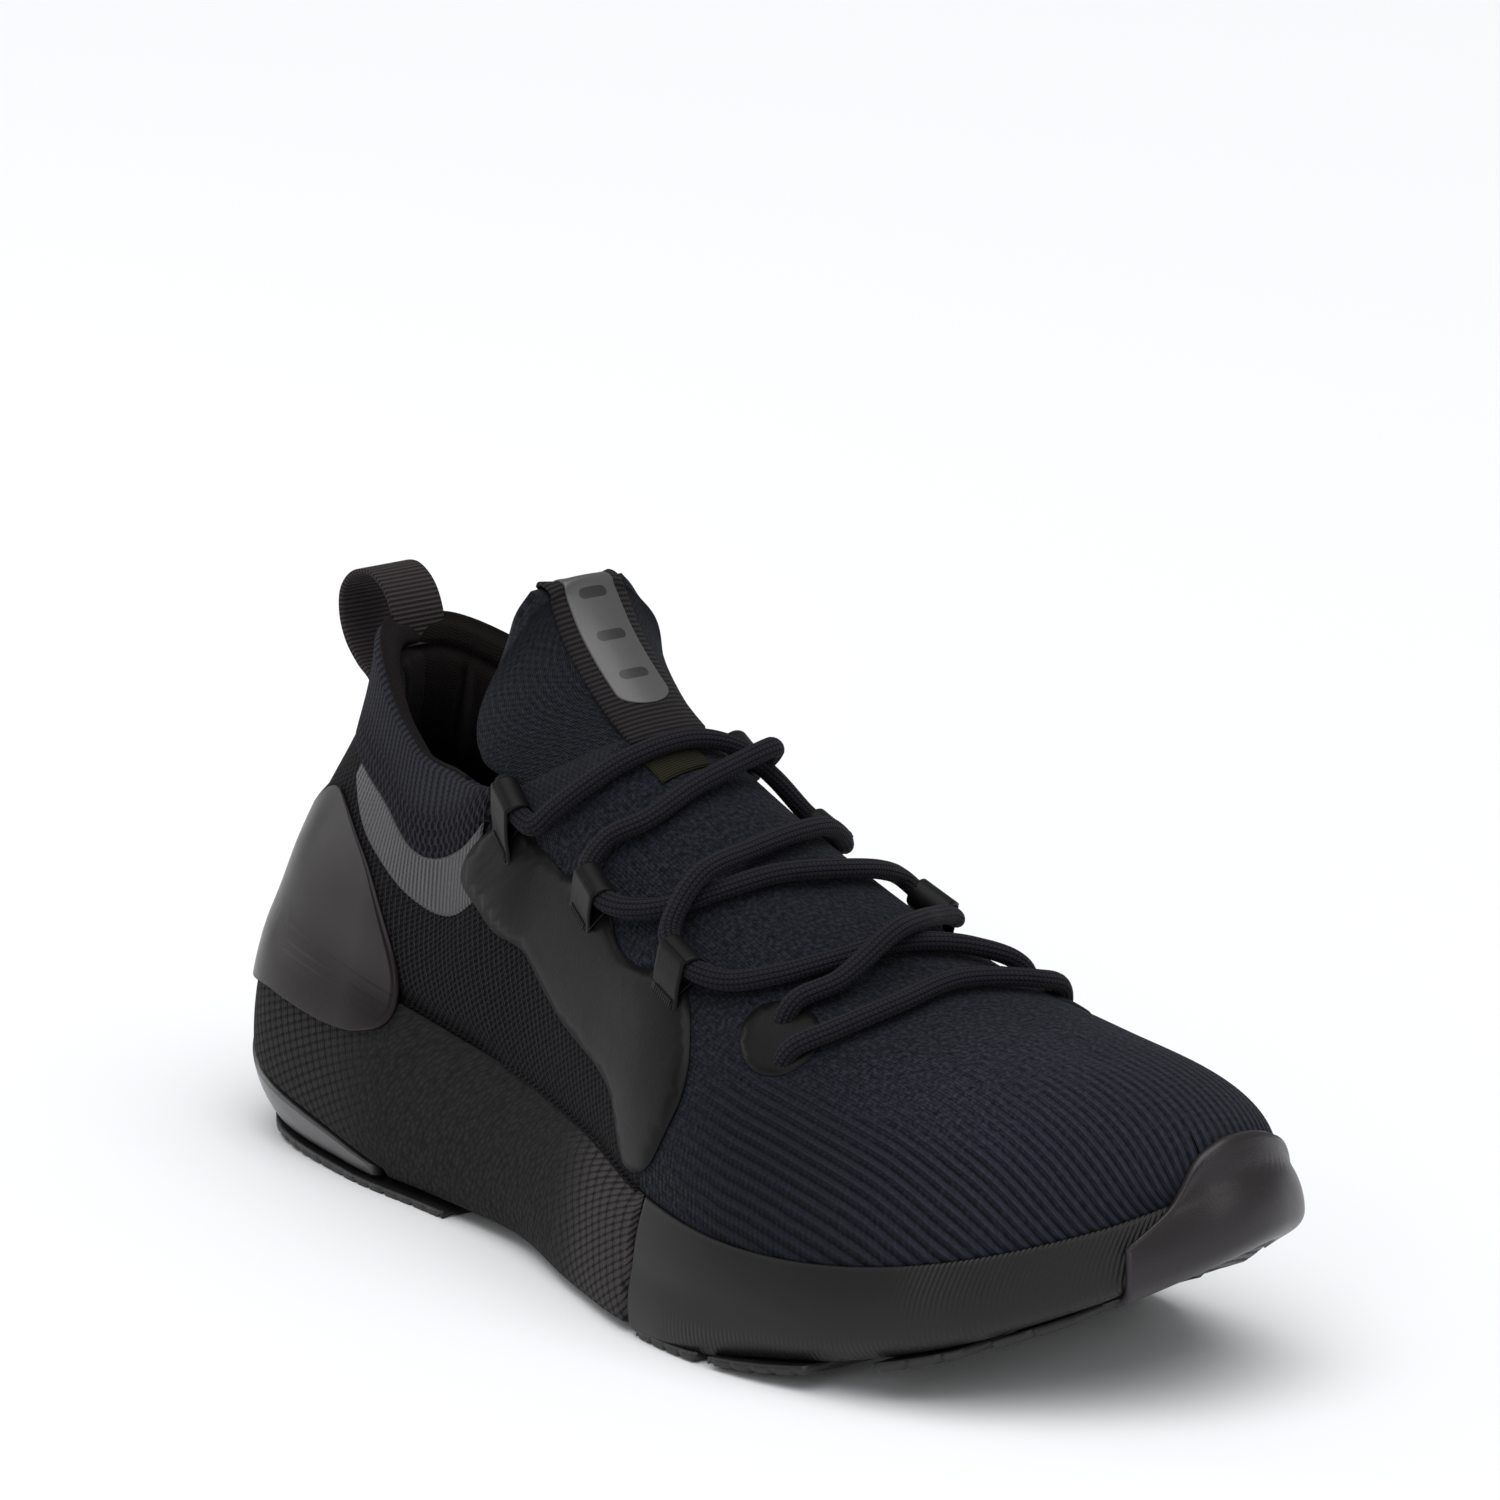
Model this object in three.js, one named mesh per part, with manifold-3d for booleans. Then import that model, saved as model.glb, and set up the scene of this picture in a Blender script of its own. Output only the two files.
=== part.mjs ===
// A men's knit running shoe, right foot, in millimetres. X runs from the heel to the toe, +Y is the
// medial side (towards the other foot), and Z is up from the ground. Every skin of the shoe is a patch of
// one of two surfaces: the side wall of the sole, and the upper that stands on it.
import * as THREE from 'three';
import * as BufferGeometryUtils from 'three/addons/utils/BufferGeometryUtils.js';
import Module from 'manifold-3d';

const wasm = await Module();
wasm.setup();

// ---------------------------------------------------------------- driving dimensions
// Widest line of the sole, [x, y], from the heel's back along the lateral side to the toe tip (13 stations),
// and from the toe tip back along the medial side (11 stations). A station number w runs from 0 to 24.
const LATERAL_LINE = [[-6, 0], [-3.5, -21], [15, -39], [52, -43.5], [85, -43], [118, -44], [150, -50],
  [180, -57], [210, -58], [240, -52], [268, -38], [288, -15], [298, 10]];
const MEDIAL_LINE = [[295, 31], [281, 46], [250, 53], [213, 52], [180, 45], [150, 38], [118, 35], [85, 36],
  [52, 40], [15, 37], [-3.5, 20]];
const STATIONS = 24;
// Values at the 13 stations from heel to toe. The second list of a pair is the medial side's.
const WALL_BOTTOM = mirrored([12, 10, 4, 2, 2, 2, 2, 2.2, 3, 7, 14, 23, 31],
  [12, 10, 4, 2, 2, 2, 2, 2.2, 3, 12, 28, 33, 31]);
const WALL_TOP = mirrored([60, 56, 51, 47, 43, 39.5, 36, 31, 28, 29, 34, 41, 48],
  [60, 56, 51, 48, 46, 43, 39, 34, 31, 34, 43, 49, 48]);
const BOTTOM_INSET = mirrored([9, 8, 6, 4, 3, 3, 3, 3, 3, 4, 6, 7, 7]);
const TOP_INSET = mirrored([6, 6, 6, 5, 4.5, 4, 4, 3.5, 3, 3, 3, 3, 3]);
const WIDEST_AT = 0.35;                      // height of the widest line, as a share of the wall
// Ridge of the instep and vamp, [x, y, z], from the tongue's top to the toe box.
const RIDGE = [[89, 0, 140.5], [96, 0, 131.5], [105, 0, 123], [118, 0, 114], [133, 0, 107], [150, 0, 99.5],
  [170, 0.5, 91], [190, 1.5, 83], [210, 3, 77], [230, 5, 73.5], [248, 7, 71.5], [262, 8, 69.5]];
// Top edge of the upper: the collar's edge up to station 4.75, then the ridge. y is given per side.
const EDGE_STATIONS = [0, 1, 2, 3, 4, 4.5, 4.75, 5, 6, 7, 8, 9, 10, 11, 12];
const COLLAR_EDGE = [[20, 0, 118.5, 118.5], [25, 10.5, 119.8, 118.2], [37, 20, 116, 113], [56, 27, 105, 105],
  [77, 29.5, 99.5, 99.5], [97, 28.5, 100.5, 100.5], [109, 20, 107.5, 107.5]];   // [x, |y|, z lateral, z medial]
const RIDGE_X = [118, 146, 176, 204, 228, 245, 256, 262];
const RISE = [0.45, 0.45, 0.45, 0.45, 0.45, 0.5, 0.56, 0.62, 0.62, 0.6, 0.6, 0.6, 0.6, 0.6, 0.6];
const BULGE = [-6, -6, -4, 0, 3, 3, 2.7, 2.5, 2, 2, 2, 1.5, 1.5, 1.5, 1.5];
const EDGE_BULGE = [-3, -3, -2, 0.5, 1.5, 1.5, 1.5, 1.5, 1.5, 1.5, 1.5, 1.5, 1.5, 1.5, 1.5];
// Tongue flap: its centre line and its lateral edge, [x, |y|, z], from the top lace row to its top.
const TONGUE_ROWS = [0, 0.25, 0.5, 0.75, 0.92, 1];
const TONGUE_CENTRE = [[131, 0, 108], [118, 0, 114.5], [105.5, 0, 123], [96, 0, 131.5], [90.5, 0, 138.3],
  [89, 0, 140.5]];
const TONGUE_EDGE = [[116, 28, 95], [101, 26.5, 100], [87, 28.5, 104.5], [83, 25.5, 117], [87, 19, 130.5],
  [89.5, 12, 138.5]];
const TONGUE_LEAN = [0, 0, 0, 1.5, 1.5, 0];   // how far both edges stand to the medial side

// Height of the foot bed, which the lasting board lies on.
const FOOT_BED = mirrored([33, 33, 32, 30.5, 28.5, 27, 24, 21, 19.5, 20.5, 25, 33, 41],
  [33, 33, 32, 30.5, 28.5, 27, 24, 21.5, 20.5, 24, 36, 42, 41]);

const GAP = 0.3;                             // clearance between touching pieces
const GAP_STATIONS = 0.012;                  // the same clearance, measured along the sole in stations
const KNIT = 1.8;                            // knit thickness
const RIM_THICKNESS = 2.4;                   // sole skin thickness
const FOAM_CLEARANCE = 0.9;                  // glue line between the foam core and its skin
const TOE_CLEARANCE = 2.5;                   // more of it at the toe, where the skins curve up
const SEAM_STATION = 7.05;                   // seam of the mesh wrap and the forefoot casing
const THROAT_STATION = 5;                    // rear end of the vamp
const FLEX_START = 7.75;                     // the sole and vamp bend between these stations
const FLEX_END = 9.45;
const LACE_RADIUS = 2.4;
const LACE_HOLE_RADIUS = LACE_RADIUS + GAP + 0.1;

// ---------------------------------------------------------------- curves
function mirrored(lateral, medial = lateral) {
  return [...lateral, ...medial.slice(1, 12).reverse()];
}

// Cubic curve through values given at rising keys, with each slope taken from its neighbours.
function curve(keys, values, at) {
  const last = keys.length - 1;
  let i = 0;
  while (i < last - 1 && at >= keys[i + 1]) i += 1;
  const secant = (j) => (values[j + 1] - values[j]) / (keys[j + 1] - keys[j]);
  const slope = (j) => {
    if (j === 0) return secant(0);
    if (j === last) return secant(last - 1);
    const before = keys[j] - keys[j - 1];
    const after = keys[j + 1] - keys[j];
    return (secant(j - 1) * after + secant(j) * before) / (before + after);
  };
  const h = keys[i + 1] - keys[i];
  const t = (at - keys[i]) / h;
  return values[i] * (2 * t ** 3 - 3 * t ** 2 + 1) + slope(i) * h * (t ** 3 - 2 * t ** 2 + t)
    + values[i + 1] * (3 * t ** 2 - 2 * t ** 3) + slope(i + 1) * h * (t ** 3 - t ** 2);
}

function pointCurve(keys, points, at) {
  const axis = (k) => curve(keys, points.map((p) => p[k]), at);
  return new THREE.Vector3(axis(0), axis(1), axis(2));
}

function aroundSole(values, w) {
  const keys = [-3, -2, -1, 0, 1, 2, 3, 4];
  const base = Math.floor(w);
  const near = keys.map((k) => values[((base + k) % STATIONS + STATIONS) % STATIONS]);
  return curve(keys, near, w - base);
}

const OUTLINE = [...LATERAL_LINE, ...MEDIAL_LINE];
const OUTLINE_X = OUTLINE.map((p) => p[0]);
const OUTLINE_Y = OUTLINE.map((p) => p[1]);

function outlinePoint(w) {
  return new THREE.Vector3(aroundSole(OUTLINE_X, w), aroundSole(OUTLINE_Y, w), 0);
}

function inwardDirection(w) {
  const along = outlinePoint(w + 0.01).sub(outlinePoint(w - 0.01));
  return new THREE.Vector3(-along.y, along.x, 0).normalize();
}

// Side wall of the sole: v is 0 at its bottom edge and 1 at its top edge.
function wall(w, v) {
  const below = Math.max(WIDEST_AT - v, 0) / WIDEST_AT;
  const above = Math.max(v - WIDEST_AT, 0) / (1 - WIDEST_AT);
  const inset = aroundSole(BOTTOM_INSET, w) * below ** 2.2 + aroundSole(TOP_INSET, w) * above ** 2;
  const bottom = aroundSole(WALL_BOTTOM, w);
  const p = outlinePoint(w).addScaledVector(inwardDirection(w), inset);
  p.z = bottom + (aroundSole(WALL_TOP, w) - bottom) * v;
  return p;
}

const ridgeAt = (x) => [x, curve(RIDGE.map((p) => p[0]), RIDGE.map((p) => p[1]), x),
  curve(RIDGE.map((p) => p[0]), RIDGE.map((p) => p[2]), x)];
const EDGE = [-1, 1].map((side) => [
  ...COLLAR_EDGE.map(([x, y, zLateral, zMedial]) => [x, side * y, side < 0 ? zLateral : zMedial]),
  ...RIDGE_X.map(ridgeAt)]);

// Top edge of the upper at station a. In front of the throat it lies on the ridge itself.
function topEdge(medial, a) {
  const edge = pointCurve(EDGE_STATIONS, EDGE[medial ? 1 : 0], a);
  return a > THROAT_STATION ? new THREE.Vector3(...ridgeAt(edge.x)) : edge;
}

// The upper: s is 0 where it leaves the sole's wall, and 1 at the collar's edge or the ridge.
function upper(w, s) {
  const station = ((w % STATIONS) + STATIONS) % STATIONS;
  const medial = station > 12;
  const a = medial ? STATIONS - station : station;
  const inward = inwardDirection(w);
  const foot = wall(w, 1).addScaledVector(inward, 1);
  const edge = topEdge(medial, a);
  const height = edge.z - foot.z;
  const low = foot.clone().addScaledVector(inward, -curve(EDGE_STATIONS, BULGE, a));
  low.z += curve(EDGE_STATIONS, RISE, a) * height;
  const collar = edge.clone().addScaledVector(inward, -curve(EDGE_STATIONS, EDGE_BULGE, a));
  collar.z -= 0.35 * height;
  const arch = edge.clone();
  arch.x += 0.62 * (foot.x - edge.x);
  arch.y += 0.62 * (foot.y - edge.y);
  const share = THREE.MathUtils.smoothstep(a, 4, 5);
  const high = collar.lerp(arch, share);
  const r = 1 - s;
  return foot.multiplyScalar(r ** 3).addScaledVector(low, 3 * s * r * r)
    .addScaledVector(high, 3 * s * s * r).addScaledVector(edge, s ** 3);
}

// Outward normal of a surface f(u, v) whose u runs clockwise seen from above and whose v runs up.
function outward(f, u, v, stepU = 0.02, stepV = 0.01) {
  const alongU = f(u + stepU, v).sub(f(u - stepU, v));
  const alongV = f(u, v + stepV).sub(f(u, v - stepV));
  return alongU.cross(alongV).normalize();
}

// The whole skin: p is 0 to 1 up the wall and 1 to 2 up the upper, pushed out by d.
function skin(w, p, d) {
  const wallNormal = () => outward(wall, w, THREE.MathUtils.clamp(p, 0.02, 0.97));
  const upperNormal = () => outward(upper, w, THREE.MathUtils.clamp(p - 1, 0.03, 0.98));
  if (p < 0.97) return wall(w, p).addScaledVector(wallNormal(), d);
  if (p > 1.03) return upper(w, p - 1).addScaledVector(upperNormal(), d);
  const both = wallNormal().add(upperNormal()).normalize();
  return (p <= 1 ? wall(w, p) : upper(w, p - 1)).addScaledVector(both, d);
}

// The upper over the instep: a is the station, c runs from -1 at the lateral side over 0 at the ridge to 1
// at the medial side, and d is the height above the surface.
function cape(a, c, d) {
  const w = c <= 0 ? a : STATIONS - a;
  const s = 1 - Math.abs(c);
  const safe = Math.min(s, 0.97);
  const normal = outward(upper, w, safe);
  if (s > 0.9) {
    const other = outward(upper, STATIONS - w, safe);
    const mix = 0.5 * THREE.MathUtils.smoothstep(s, 0.9, 1);
    normal.multiplyScalar(1 - mix).addScaledVector(other, mix).normalize();
  }
  return upper(w, s).addScaledVector(normal, d);
}

function tongueSurface(u, v) {
  const centre = pointCurve(TONGUE_ROWS, TONGUE_CENTRE, v);
  const edge = pointCurve(TONGUE_ROWS, TONGUE_EDGE, v);
  const a = Math.abs(u);
  const lean = curve(TONGUE_ROWS, TONGUE_LEAN, v);
  return new THREE.Vector3(centre.x + (edge.x - centre.x) * a ** 2, edge.y * u + lean * u * u,
    centre.z + (edge.z - centre.z) * a ** 2.3);
}

function tongueSkin(u, v, d) {
  const inside = THREE.MathUtils.clamp(v, 0.02, 0.98);
  const normal = outward(tongueSurface, u, inside, 0.03, 0.02).negate();
  return tongueSurface(u, v).addScaledVector(normal, -d);
}

// ---------------------------------------------------------------- solids
function steps(from, to, count) {
  return Array.from({ length: count + 1 }, (_, i) => from + (to - from) * i / count);
}

// A closed mesh from vertices and faces: equal vertices are merged, and the faces are turned to point out.
function solid(vertices, faces) {
  let geometry = new THREE.BufferGeometry();
  geometry.setAttribute('position', new THREE.Float32BufferAttribute(vertices.flatMap((p) => p.toArray()), 3));
  geometry.setIndex(faces.flat());
  geometry = BufferGeometryUtils.mergeVertices(geometry, 1e-3);
  const index = geometry.index.array;
  const at = (i) => new THREE.Vector3().fromBufferAttribute(geometry.attributes.position, i);
  const kept = [];
  let volume = 0;
  for (let i = 0; i < index.length; i += 3) {
    const [a, b, c] = [index[i], index[i + 1], index[i + 2]];
    if (a !== b && b !== c && c !== a) {
      kept.push(a, b, c);
      volume += at(a).dot(at(b).cross(at(c)));
    }
  }
  if (volume < 0) kept.reverse();
  geometry.setIndex(kept);
  return geometry;
}

// A sheet with thickness: outer and inner are surfaces over the same grid, joined round their rims. A folded
// sheet's last column lies on itself, so it needs no rim there.
function sheet(us, vs, outer, inner, folded = false) {
  const nu = us.length;
  const nv = vs.length;
  const vertices = [outer, inner].flatMap((f) => us.flatMap((u) => vs.map((v) => f(u, v))));
  const id = (layer, i, j) => layer * nu * nv + i * nv + j;
  const faces = [];
  const quad = (a, b, c, d) => faces.push([a, b, c], [a, c, d]);
  for (let i = 0; i < nu - 1; i += 1) {
    for (let j = 0; j < nv - 1; j += 1) {
      quad(id(0, i, j), id(0, i + 1, j), id(0, i + 1, j + 1), id(0, i, j + 1));
      quad(id(1, i, j), id(1, i, j + 1), id(1, i + 1, j + 1), id(1, i + 1, j));
    }
    quad(id(0, i, 0), id(1, i, 0), id(1, i + 1, 0), id(0, i + 1, 0));
    quad(id(0, i, nv - 1), id(0, i + 1, nv - 1), id(1, i + 1, nv - 1), id(1, i, nv - 1));
  }
  for (let j = 0; j < nv - 1; j += 1) {
    quad(id(0, 0, j), id(0, 0, j + 1), id(1, 0, j + 1), id(1, 0, j));
    if (!folded) quad(id(0, nu - 1, j), id(1, nu - 1, j), id(1, nu - 1, j + 1), id(0, nu - 1, j + 1));
  }
  return solid(vertices, faces);
}

// A body lofted along the stations: section(a) gives matching lateral and medial chains from low to high.
function slab(stations, section) {
  const rows = stations.map(section);
  const n = rows[0].lateral.length;
  const vertices = rows.flatMap((row) => [...row.lateral, ...row.medial]);
  const id = (i, side, j) => i * 2 * n + side * n + j;
  const faces = [];
  const quad = (a, b, c, d) => faces.push([a, b, c], [a, c, d]);
  for (let i = 0; i < rows.length - 1; i += 1) {
    for (let j = 0; j < n - 1; j += 1) {
      quad(id(i, 0, j), id(i + 1, 0, j), id(i + 1, 0, j + 1), id(i, 0, j + 1));
      quad(id(i, 1, j), id(i, 1, j + 1), id(i + 1, 1, j + 1), id(i + 1, 1, j));
    }
    quad(id(i, 0, n - 1), id(i + 1, 0, n - 1), id(i + 1, 1, n - 1), id(i, 1, n - 1));
    quad(id(i, 0, 0), id(i, 1, 0), id(i + 1, 1, 0), id(i + 1, 0, 0));
  }
  for (let j = 0; j < n - 1; j += 1) {
    quad(id(0, 0, j), id(0, 0, j + 1), id(0, 1, j + 1), id(0, 1, j));
    const end = rows.length - 1;
    quad(id(end, 0, j), id(end, 1, j), id(end, 1, j + 1), id(end, 0, j + 1));
  }
  return solid(vertices, faces);
}

function toManifold(geometry) {
  const bare = geometry.clone();
  bare.deleteAttribute('normal');
  bare.deleteAttribute('uv');
  const merged = BufferGeometryUtils.mergeVertices(bare, 1e-3);
  return new wasm.Manifold(new wasm.Mesh({
    numProp: 3,
    vertProperties: merged.attributes.position.array,
    triVerts: new Uint32Array(merged.index.array),
  }));
}

function fromManifold(body) {
  const mesh = body.getMesh();
  const geometry = new THREE.BufferGeometry();
  geometry.setAttribute('position', new THREE.BufferAttribute(mesh.vertProperties, 3));
  geometry.setIndex([...mesh.triVerts]);
  return geometry;
}

function cut(geometry, ...tools) {
  let body = toManifold(geometry);
  for (const tool of tools) body = body.subtract(toManifold(tool));
  const pieces = body.decompose().sort((a, b) => b.volume() - a.volume());
  return fromManifold(pieces[0]);
}

// ---------------------------------------------------------------- materials and nodes
function material(color, roughness, metalness = 0) {
  return new THREE.MeshStandardMaterial({ color, roughness, metalness });
}
const knitMaterial = material(0x11141c, 0.95);
const liningMaterial = material(0x16110f, 0.95);
const meshMaterial = material(0x0e0d11, 0.9);
const wrapMaterial = material(0x121213, 0.9);
const foamMaterial = material(0x141415, 0.6);
const casingMaterial = material(0x111112, 0.65);
const rubberMaterial = material(0x0d0d0e, 0.6);
const filmMaterial = material(0x19191b, 0.45);
const clipMaterial = material(0x221f1f, 0.25);
const laceMaterial = material(0x08090b, 0.95);
const webbingMaterial = material(0x151214, 0.9);
const reflectiveMaterial = material(0x4a4d51, 0.4, 0.2);
const boardMaterial = material(0x2b2b2b, 0.9);

const shoe = new THREE.Group();

function add(name, geometry, surface) {
  const mesh = new THREE.Mesh(geometry, surface);
  mesh.name = name;
  shoe.add(mesh);
}

// ---------------------------------------------------------------- midsole
// Cross-section of a foam block: the wall set in by the skin's thickness, up to the foot bed.
const WALL_ROWS = [0.03, 0.18, WIDEST_AT, 0.6];

function wallRow(w, v, inset) {
  return wall(w, v).addScaledVector(inwardDirection(w), inset);
}

function foamSection(a) {
  const side = (w) => {
    const extra = TOE_CLEARANCE * THREE.MathUtils.smoothstep(a, FLEX_END, 10.5);
    const chain = WALL_ROWS.map((v) => wallRow(w, v, RIM_THICKNESS + FOAM_CLEARANCE + extra));
    const rim = wallRow(w, 0.62, RIM_THICKNESS + 1.6 + extra);
    const top = aroundSole(FOOT_BED, w) - GAP;
    const skinBelow = a < SEAM_STATION ? GAP : RIM_THICKNESS + FOAM_CLEARANCE + extra;
    chain[0].z = aroundSole(WALL_BOTTOM, w) + skinBelow;
    chain.forEach((p, k) => { p.z = Math.min(p.z, top - (chain.length - 1 - k)); });
    rim.z = top;
    return [...chain, rim];
  };
  return { lateral: side(a), medial: side(STATIONS - a) };
}

const heelStations = [0, 0.5, 1, 1.5, 2, 2.5, 3, 3.5, 4, 4.5, 5, 5.5, 6, 6.5];
const rearStations = [...heelStations, SEAM_STATION - GAP_STATIONS, SEAM_STATION + GAP_STATIONS,
  FLEX_START - GAP_STATIONS];
const flexStations = [FLEX_START + GAP_STATIONS, 8.3, 8.9, FLEX_END - GAP_STATIONS];
const frontStations = [FLEX_END + GAP_STATIONS, 10, 10.5, 11, 11.35, 11.7, 12];
add('midsole_foam_rear', slab(rearStations, foamSection), foamMaterial);
add('midsole_foam_flex_zone', slab(flexStations, foamSection), foamMaterial);
add('midsole_foam_front', slab(frontStations, foamSection), foamMaterial);

// A skin of the wall, thinned towards its top edge so that the upper can stand inside it.
function wallSkin(w, v, depth) {
  const lip = THREE.MathUtils.lerp(RIM_THICKNESS, 0.6, THREE.MathUtils.smoothstep(v, 0.6, 1));
  return wallRow(w, v, depth * lip);
}

const wrapEnd = SEAM_STATION - GAP_STATIONS;
const wrapSide = [...heelStations.slice(1), wrapEnd];
const wrapStations = [...wrapSide.map((w) => -w).reverse(), 0, ...wrapSide];
const crescentTop = (w) => 0.34 * (1 - (w / 3.6) ** 2) + 0.05;
const wrapBottom = (w) => (Math.abs(w) < 3.5 ? crescentTop(w) + 0.01 : 0.06);
add('mesh_wrap', sheet(wrapStations, steps(0, 1, 6),
  (w, t) => wallSkin(w, THREE.MathUtils.lerp(wrapBottom(w), 1, t), 0),
  (w, t) => wallSkin(w, THREE.MathUtils.lerp(wrapBottom(w), 1, t), 1)), wrapMaterial);
const crescentStations = [-3.3, ...steps(-3, 3, 12), 3.3];
add('heel_foam_crescent', sheet(crescentStations, steps(0, 1, 3),
  (w, t) => wallSkin(w, 0.03 + (crescentTop(w) - 0.04) * t, -0.35),
  (w, t) => wallSkin(w, 0.03 + (crescentTop(w) - 0.04) * t, 1)), foamMaterial);

// Forefoot casing: a trough whose section runs down the lateral wall, across the bottom and up again.
const TROUGH = [-1, -0.8, -0.6, -0.4, -0.25, -0.12, 0, 0, 0.12, 0.25, 0.4, 0.6, 0.8, 1];
function troughPoint(a, k, depth) {
  const middle = TROUGH.length / 2;
  const w = k < middle ? a : STATIONS - a;
  const v = Math.abs(TROUGH[k]);
  const p = wallSkin(w, v, depth);
  if (v === 0) p.z += depth * RIM_THICKNESS;
  return p;
}
const troughKeys = TROUGH.map((_, k) => k);
const endsAtToe = (stations) => stations[stations.length - 1] === 12;
const casing = (stations) => sheet(stations, troughKeys, (a, k) => troughPoint(a, k, 0),
  (a, k) => troughPoint(a, k, 1), endsAtToe(stations));
add('forefoot_casing_rear', casing([SEAM_STATION + GAP_STATIONS, FLEX_START - GAP_STATIONS]), casingMaterial);
add('forefoot_casing_flex_zone', casing(flexStations), casingMaterial);
add('forefoot_casing_front', casing(frontStations), casingMaterial);

// ---------------------------------------------------------------- outsole pods
// Point of the sole's underside: f runs from the lateral edge (0) to the medial edge (1).
function underside(a, f, drop) {
  const p = wall(a, 0).lerp(wall(STATIONS - a, 0), f);
  p.z -= drop;
  return p;
}

function podSole(a, f) {
  const p = underside(a, f, 2.6);
  p.z = Math.max(p.z, 0);
  return p;
}

function pod(name, a0, a1, f0, f1) {
  const stations = steps(a0, a1, a1 - a0 > 2 ? 6 : 2);
  const shares = steps(f0, f1, 2);
  add(name, sheet(stations, shares, podSole, (a, f) => underside(a, f, GAP)), rubberMaterial);
}

for (const [side, f0, f1] of [['lateral', -0.01, 0.36], ['medial', 0.64, 1.01]]) {
  pod(`outsole_heel_${side}`, 1.3, 4.2, f0, f1);
  pod(`outsole_forefoot_${side}_1`, 7.1, FLEX_START - 0.04, f0, f1);
  pod(`outsole_forefoot_${side}_2`, 8.2, 8.95, f0, f1);
  pod(`outsole_forefoot_${side}_3`, FLEX_END + 0.03, 10.15, f0, f1);
  pod(`outsole_forefoot_${side}_4`, 10.35, 10.95, f0, f1);
}
pod('outsole_toe', 11.1, 11.7, 0.02, 0.98);

// ---------------------------------------------------------------- inside the shoe
function boardSection(inset, low, high) {
  return (a) => {
    const side = (w) => {
      const p = outlinePoint(w).addScaledVector(inwardDirection(w), aroundSole(TOP_INSET, w) + inset);
      const bed = aroundSole(FOOT_BED, w);
      return [low, high].map((z) => new THREE.Vector3(p.x, p.y, bed + z));
    };
    return { lateral: side(a), medial: side(STATIONS - a) };
  };
}
const boardStations = [0, 0.5, 1, 1.5, 2, 2.5, 3, 4, 5, 6, 7, 8, 9, 10, 10.5, 11, 11.5, 12];
add('strobel_board', slab(boardStations, boardSection(8.6, 0, 1.2)), boardMaterial);
add('sock_liner', slab(boardStations, boardSection(9, 1.5, 5.5)), liningMaterial);

// ---------------------------------------------------------------- knit upper
// Below the rim the upper turns in and stands on the foot bed: rows -2 and -1 of a shell.
function marginRow(w, level, depth) {
  const p = wall(w, 1).addScaledVector(inwardDirection(w), level === 0 ? 5.5 + depth : 4.5 + depth);
  const bed = aroundSole(FOOT_BED, w) + GAP;
  p.z = level === 0 ? bed : (bed + aroundSole(WALL_TOP, w)) / 2;
  return p;
}

const ACROSS = [1, 0.88, 0.74, 0.6, 0.46, 0.32, 0.18];
const acrossKeys = [-3, -2, ...ACROSS.map((c) => -c), 0, ...ACROSS.slice().reverse(), 2, 3];
function vampPoint(a, c, depth) {
  if (Math.abs(c) <= 1) return cape(a, c, -depth);
  return marginRow(c < 0 ? a : STATIONS - a, Math.abs(c) === 3 ? 0 : 1, depth);
}
const vamp = (stations) => sheet(stations, acrossKeys, (a, c) => vampPoint(a, c, 0),
  (a, c) => vampPoint(a, c, KNIT), endsAtToe(stations));
const vampRearStations = [THROAT_STATION + GAP_STATIONS, 5.4, 5.8, 6.2, 6.6, 7, 7.4, FLEX_START - GAP_STATIONS];

// Height of the collar knit's lower edge on the upper, by station from the heel.
const KNIT_EDGE_STATIONS = [0, 2, 2.8, 4.1, 4.3, 4.55, 5];
const KNIT_EDGE = [0.6, 0.62, 0.65, 0.65, 0.72, 0.98, 0.985];
const fromHeel = (w) => (w > 12 ? STATIONS - w : Math.abs(w));
const knitEdge = (w) => curve(KNIT_EDGE_STATIONS, KNIT_EDGE, fromHeel(w));
// Behind the vamp the quarter stops under the edge of the eyestay.
const QUARTER_TOP_STATIONS = [4.3, 4.5, 4.7, 4.85, 5];
const QUARTER_TOP = [0.71, 0.86, 0.62, 0.44, 0.4];
const quarterTop = (w) => (fromHeel(w) < 4.3 ? knitEdge(w) - 0.01
  : curve(QUARTER_TOP_STATIONS, QUARTER_TOP, fromHeel(w)) - 0.01);

// A shell of the rear upper, from the foot bed (t = -2) over the rim (t = 0) to its top edge (t = 1).
function quarterPoint(w, t, depth) {
  if (t < 0) return marginRow(w, t === -2 ? 0 : 1, depth);
  return skin(w, 1.02 + (quarterTop(w) - 0.02) * t, -depth);
}
const quarterSide = [GAP_STATIONS, 0.5, 1, 1.5, 2, 2.5, 3, 3.5, 4, 4.25, 4.45, 4.7, 4.85,
  THROAT_STATION - GAP_STATIONS];
const SIDES = [['lateral', (a) => a, -1], ['medial', (a) => STATIONS - a, 1]];
for (const [side, station] of SIDES) {
  const stations = quarterSide.map(station).sort((a, b) => a - b);
  add(`quarter_mesh_${side}`, sheet(stations, [-2, -1, 0, 0.25, 0.5, 0.75, 1],
    (w, t) => quarterPoint(w, t, 0), (w, t) => quarterPoint(w, t, 1.2)), meshMaterial);
}

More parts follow.
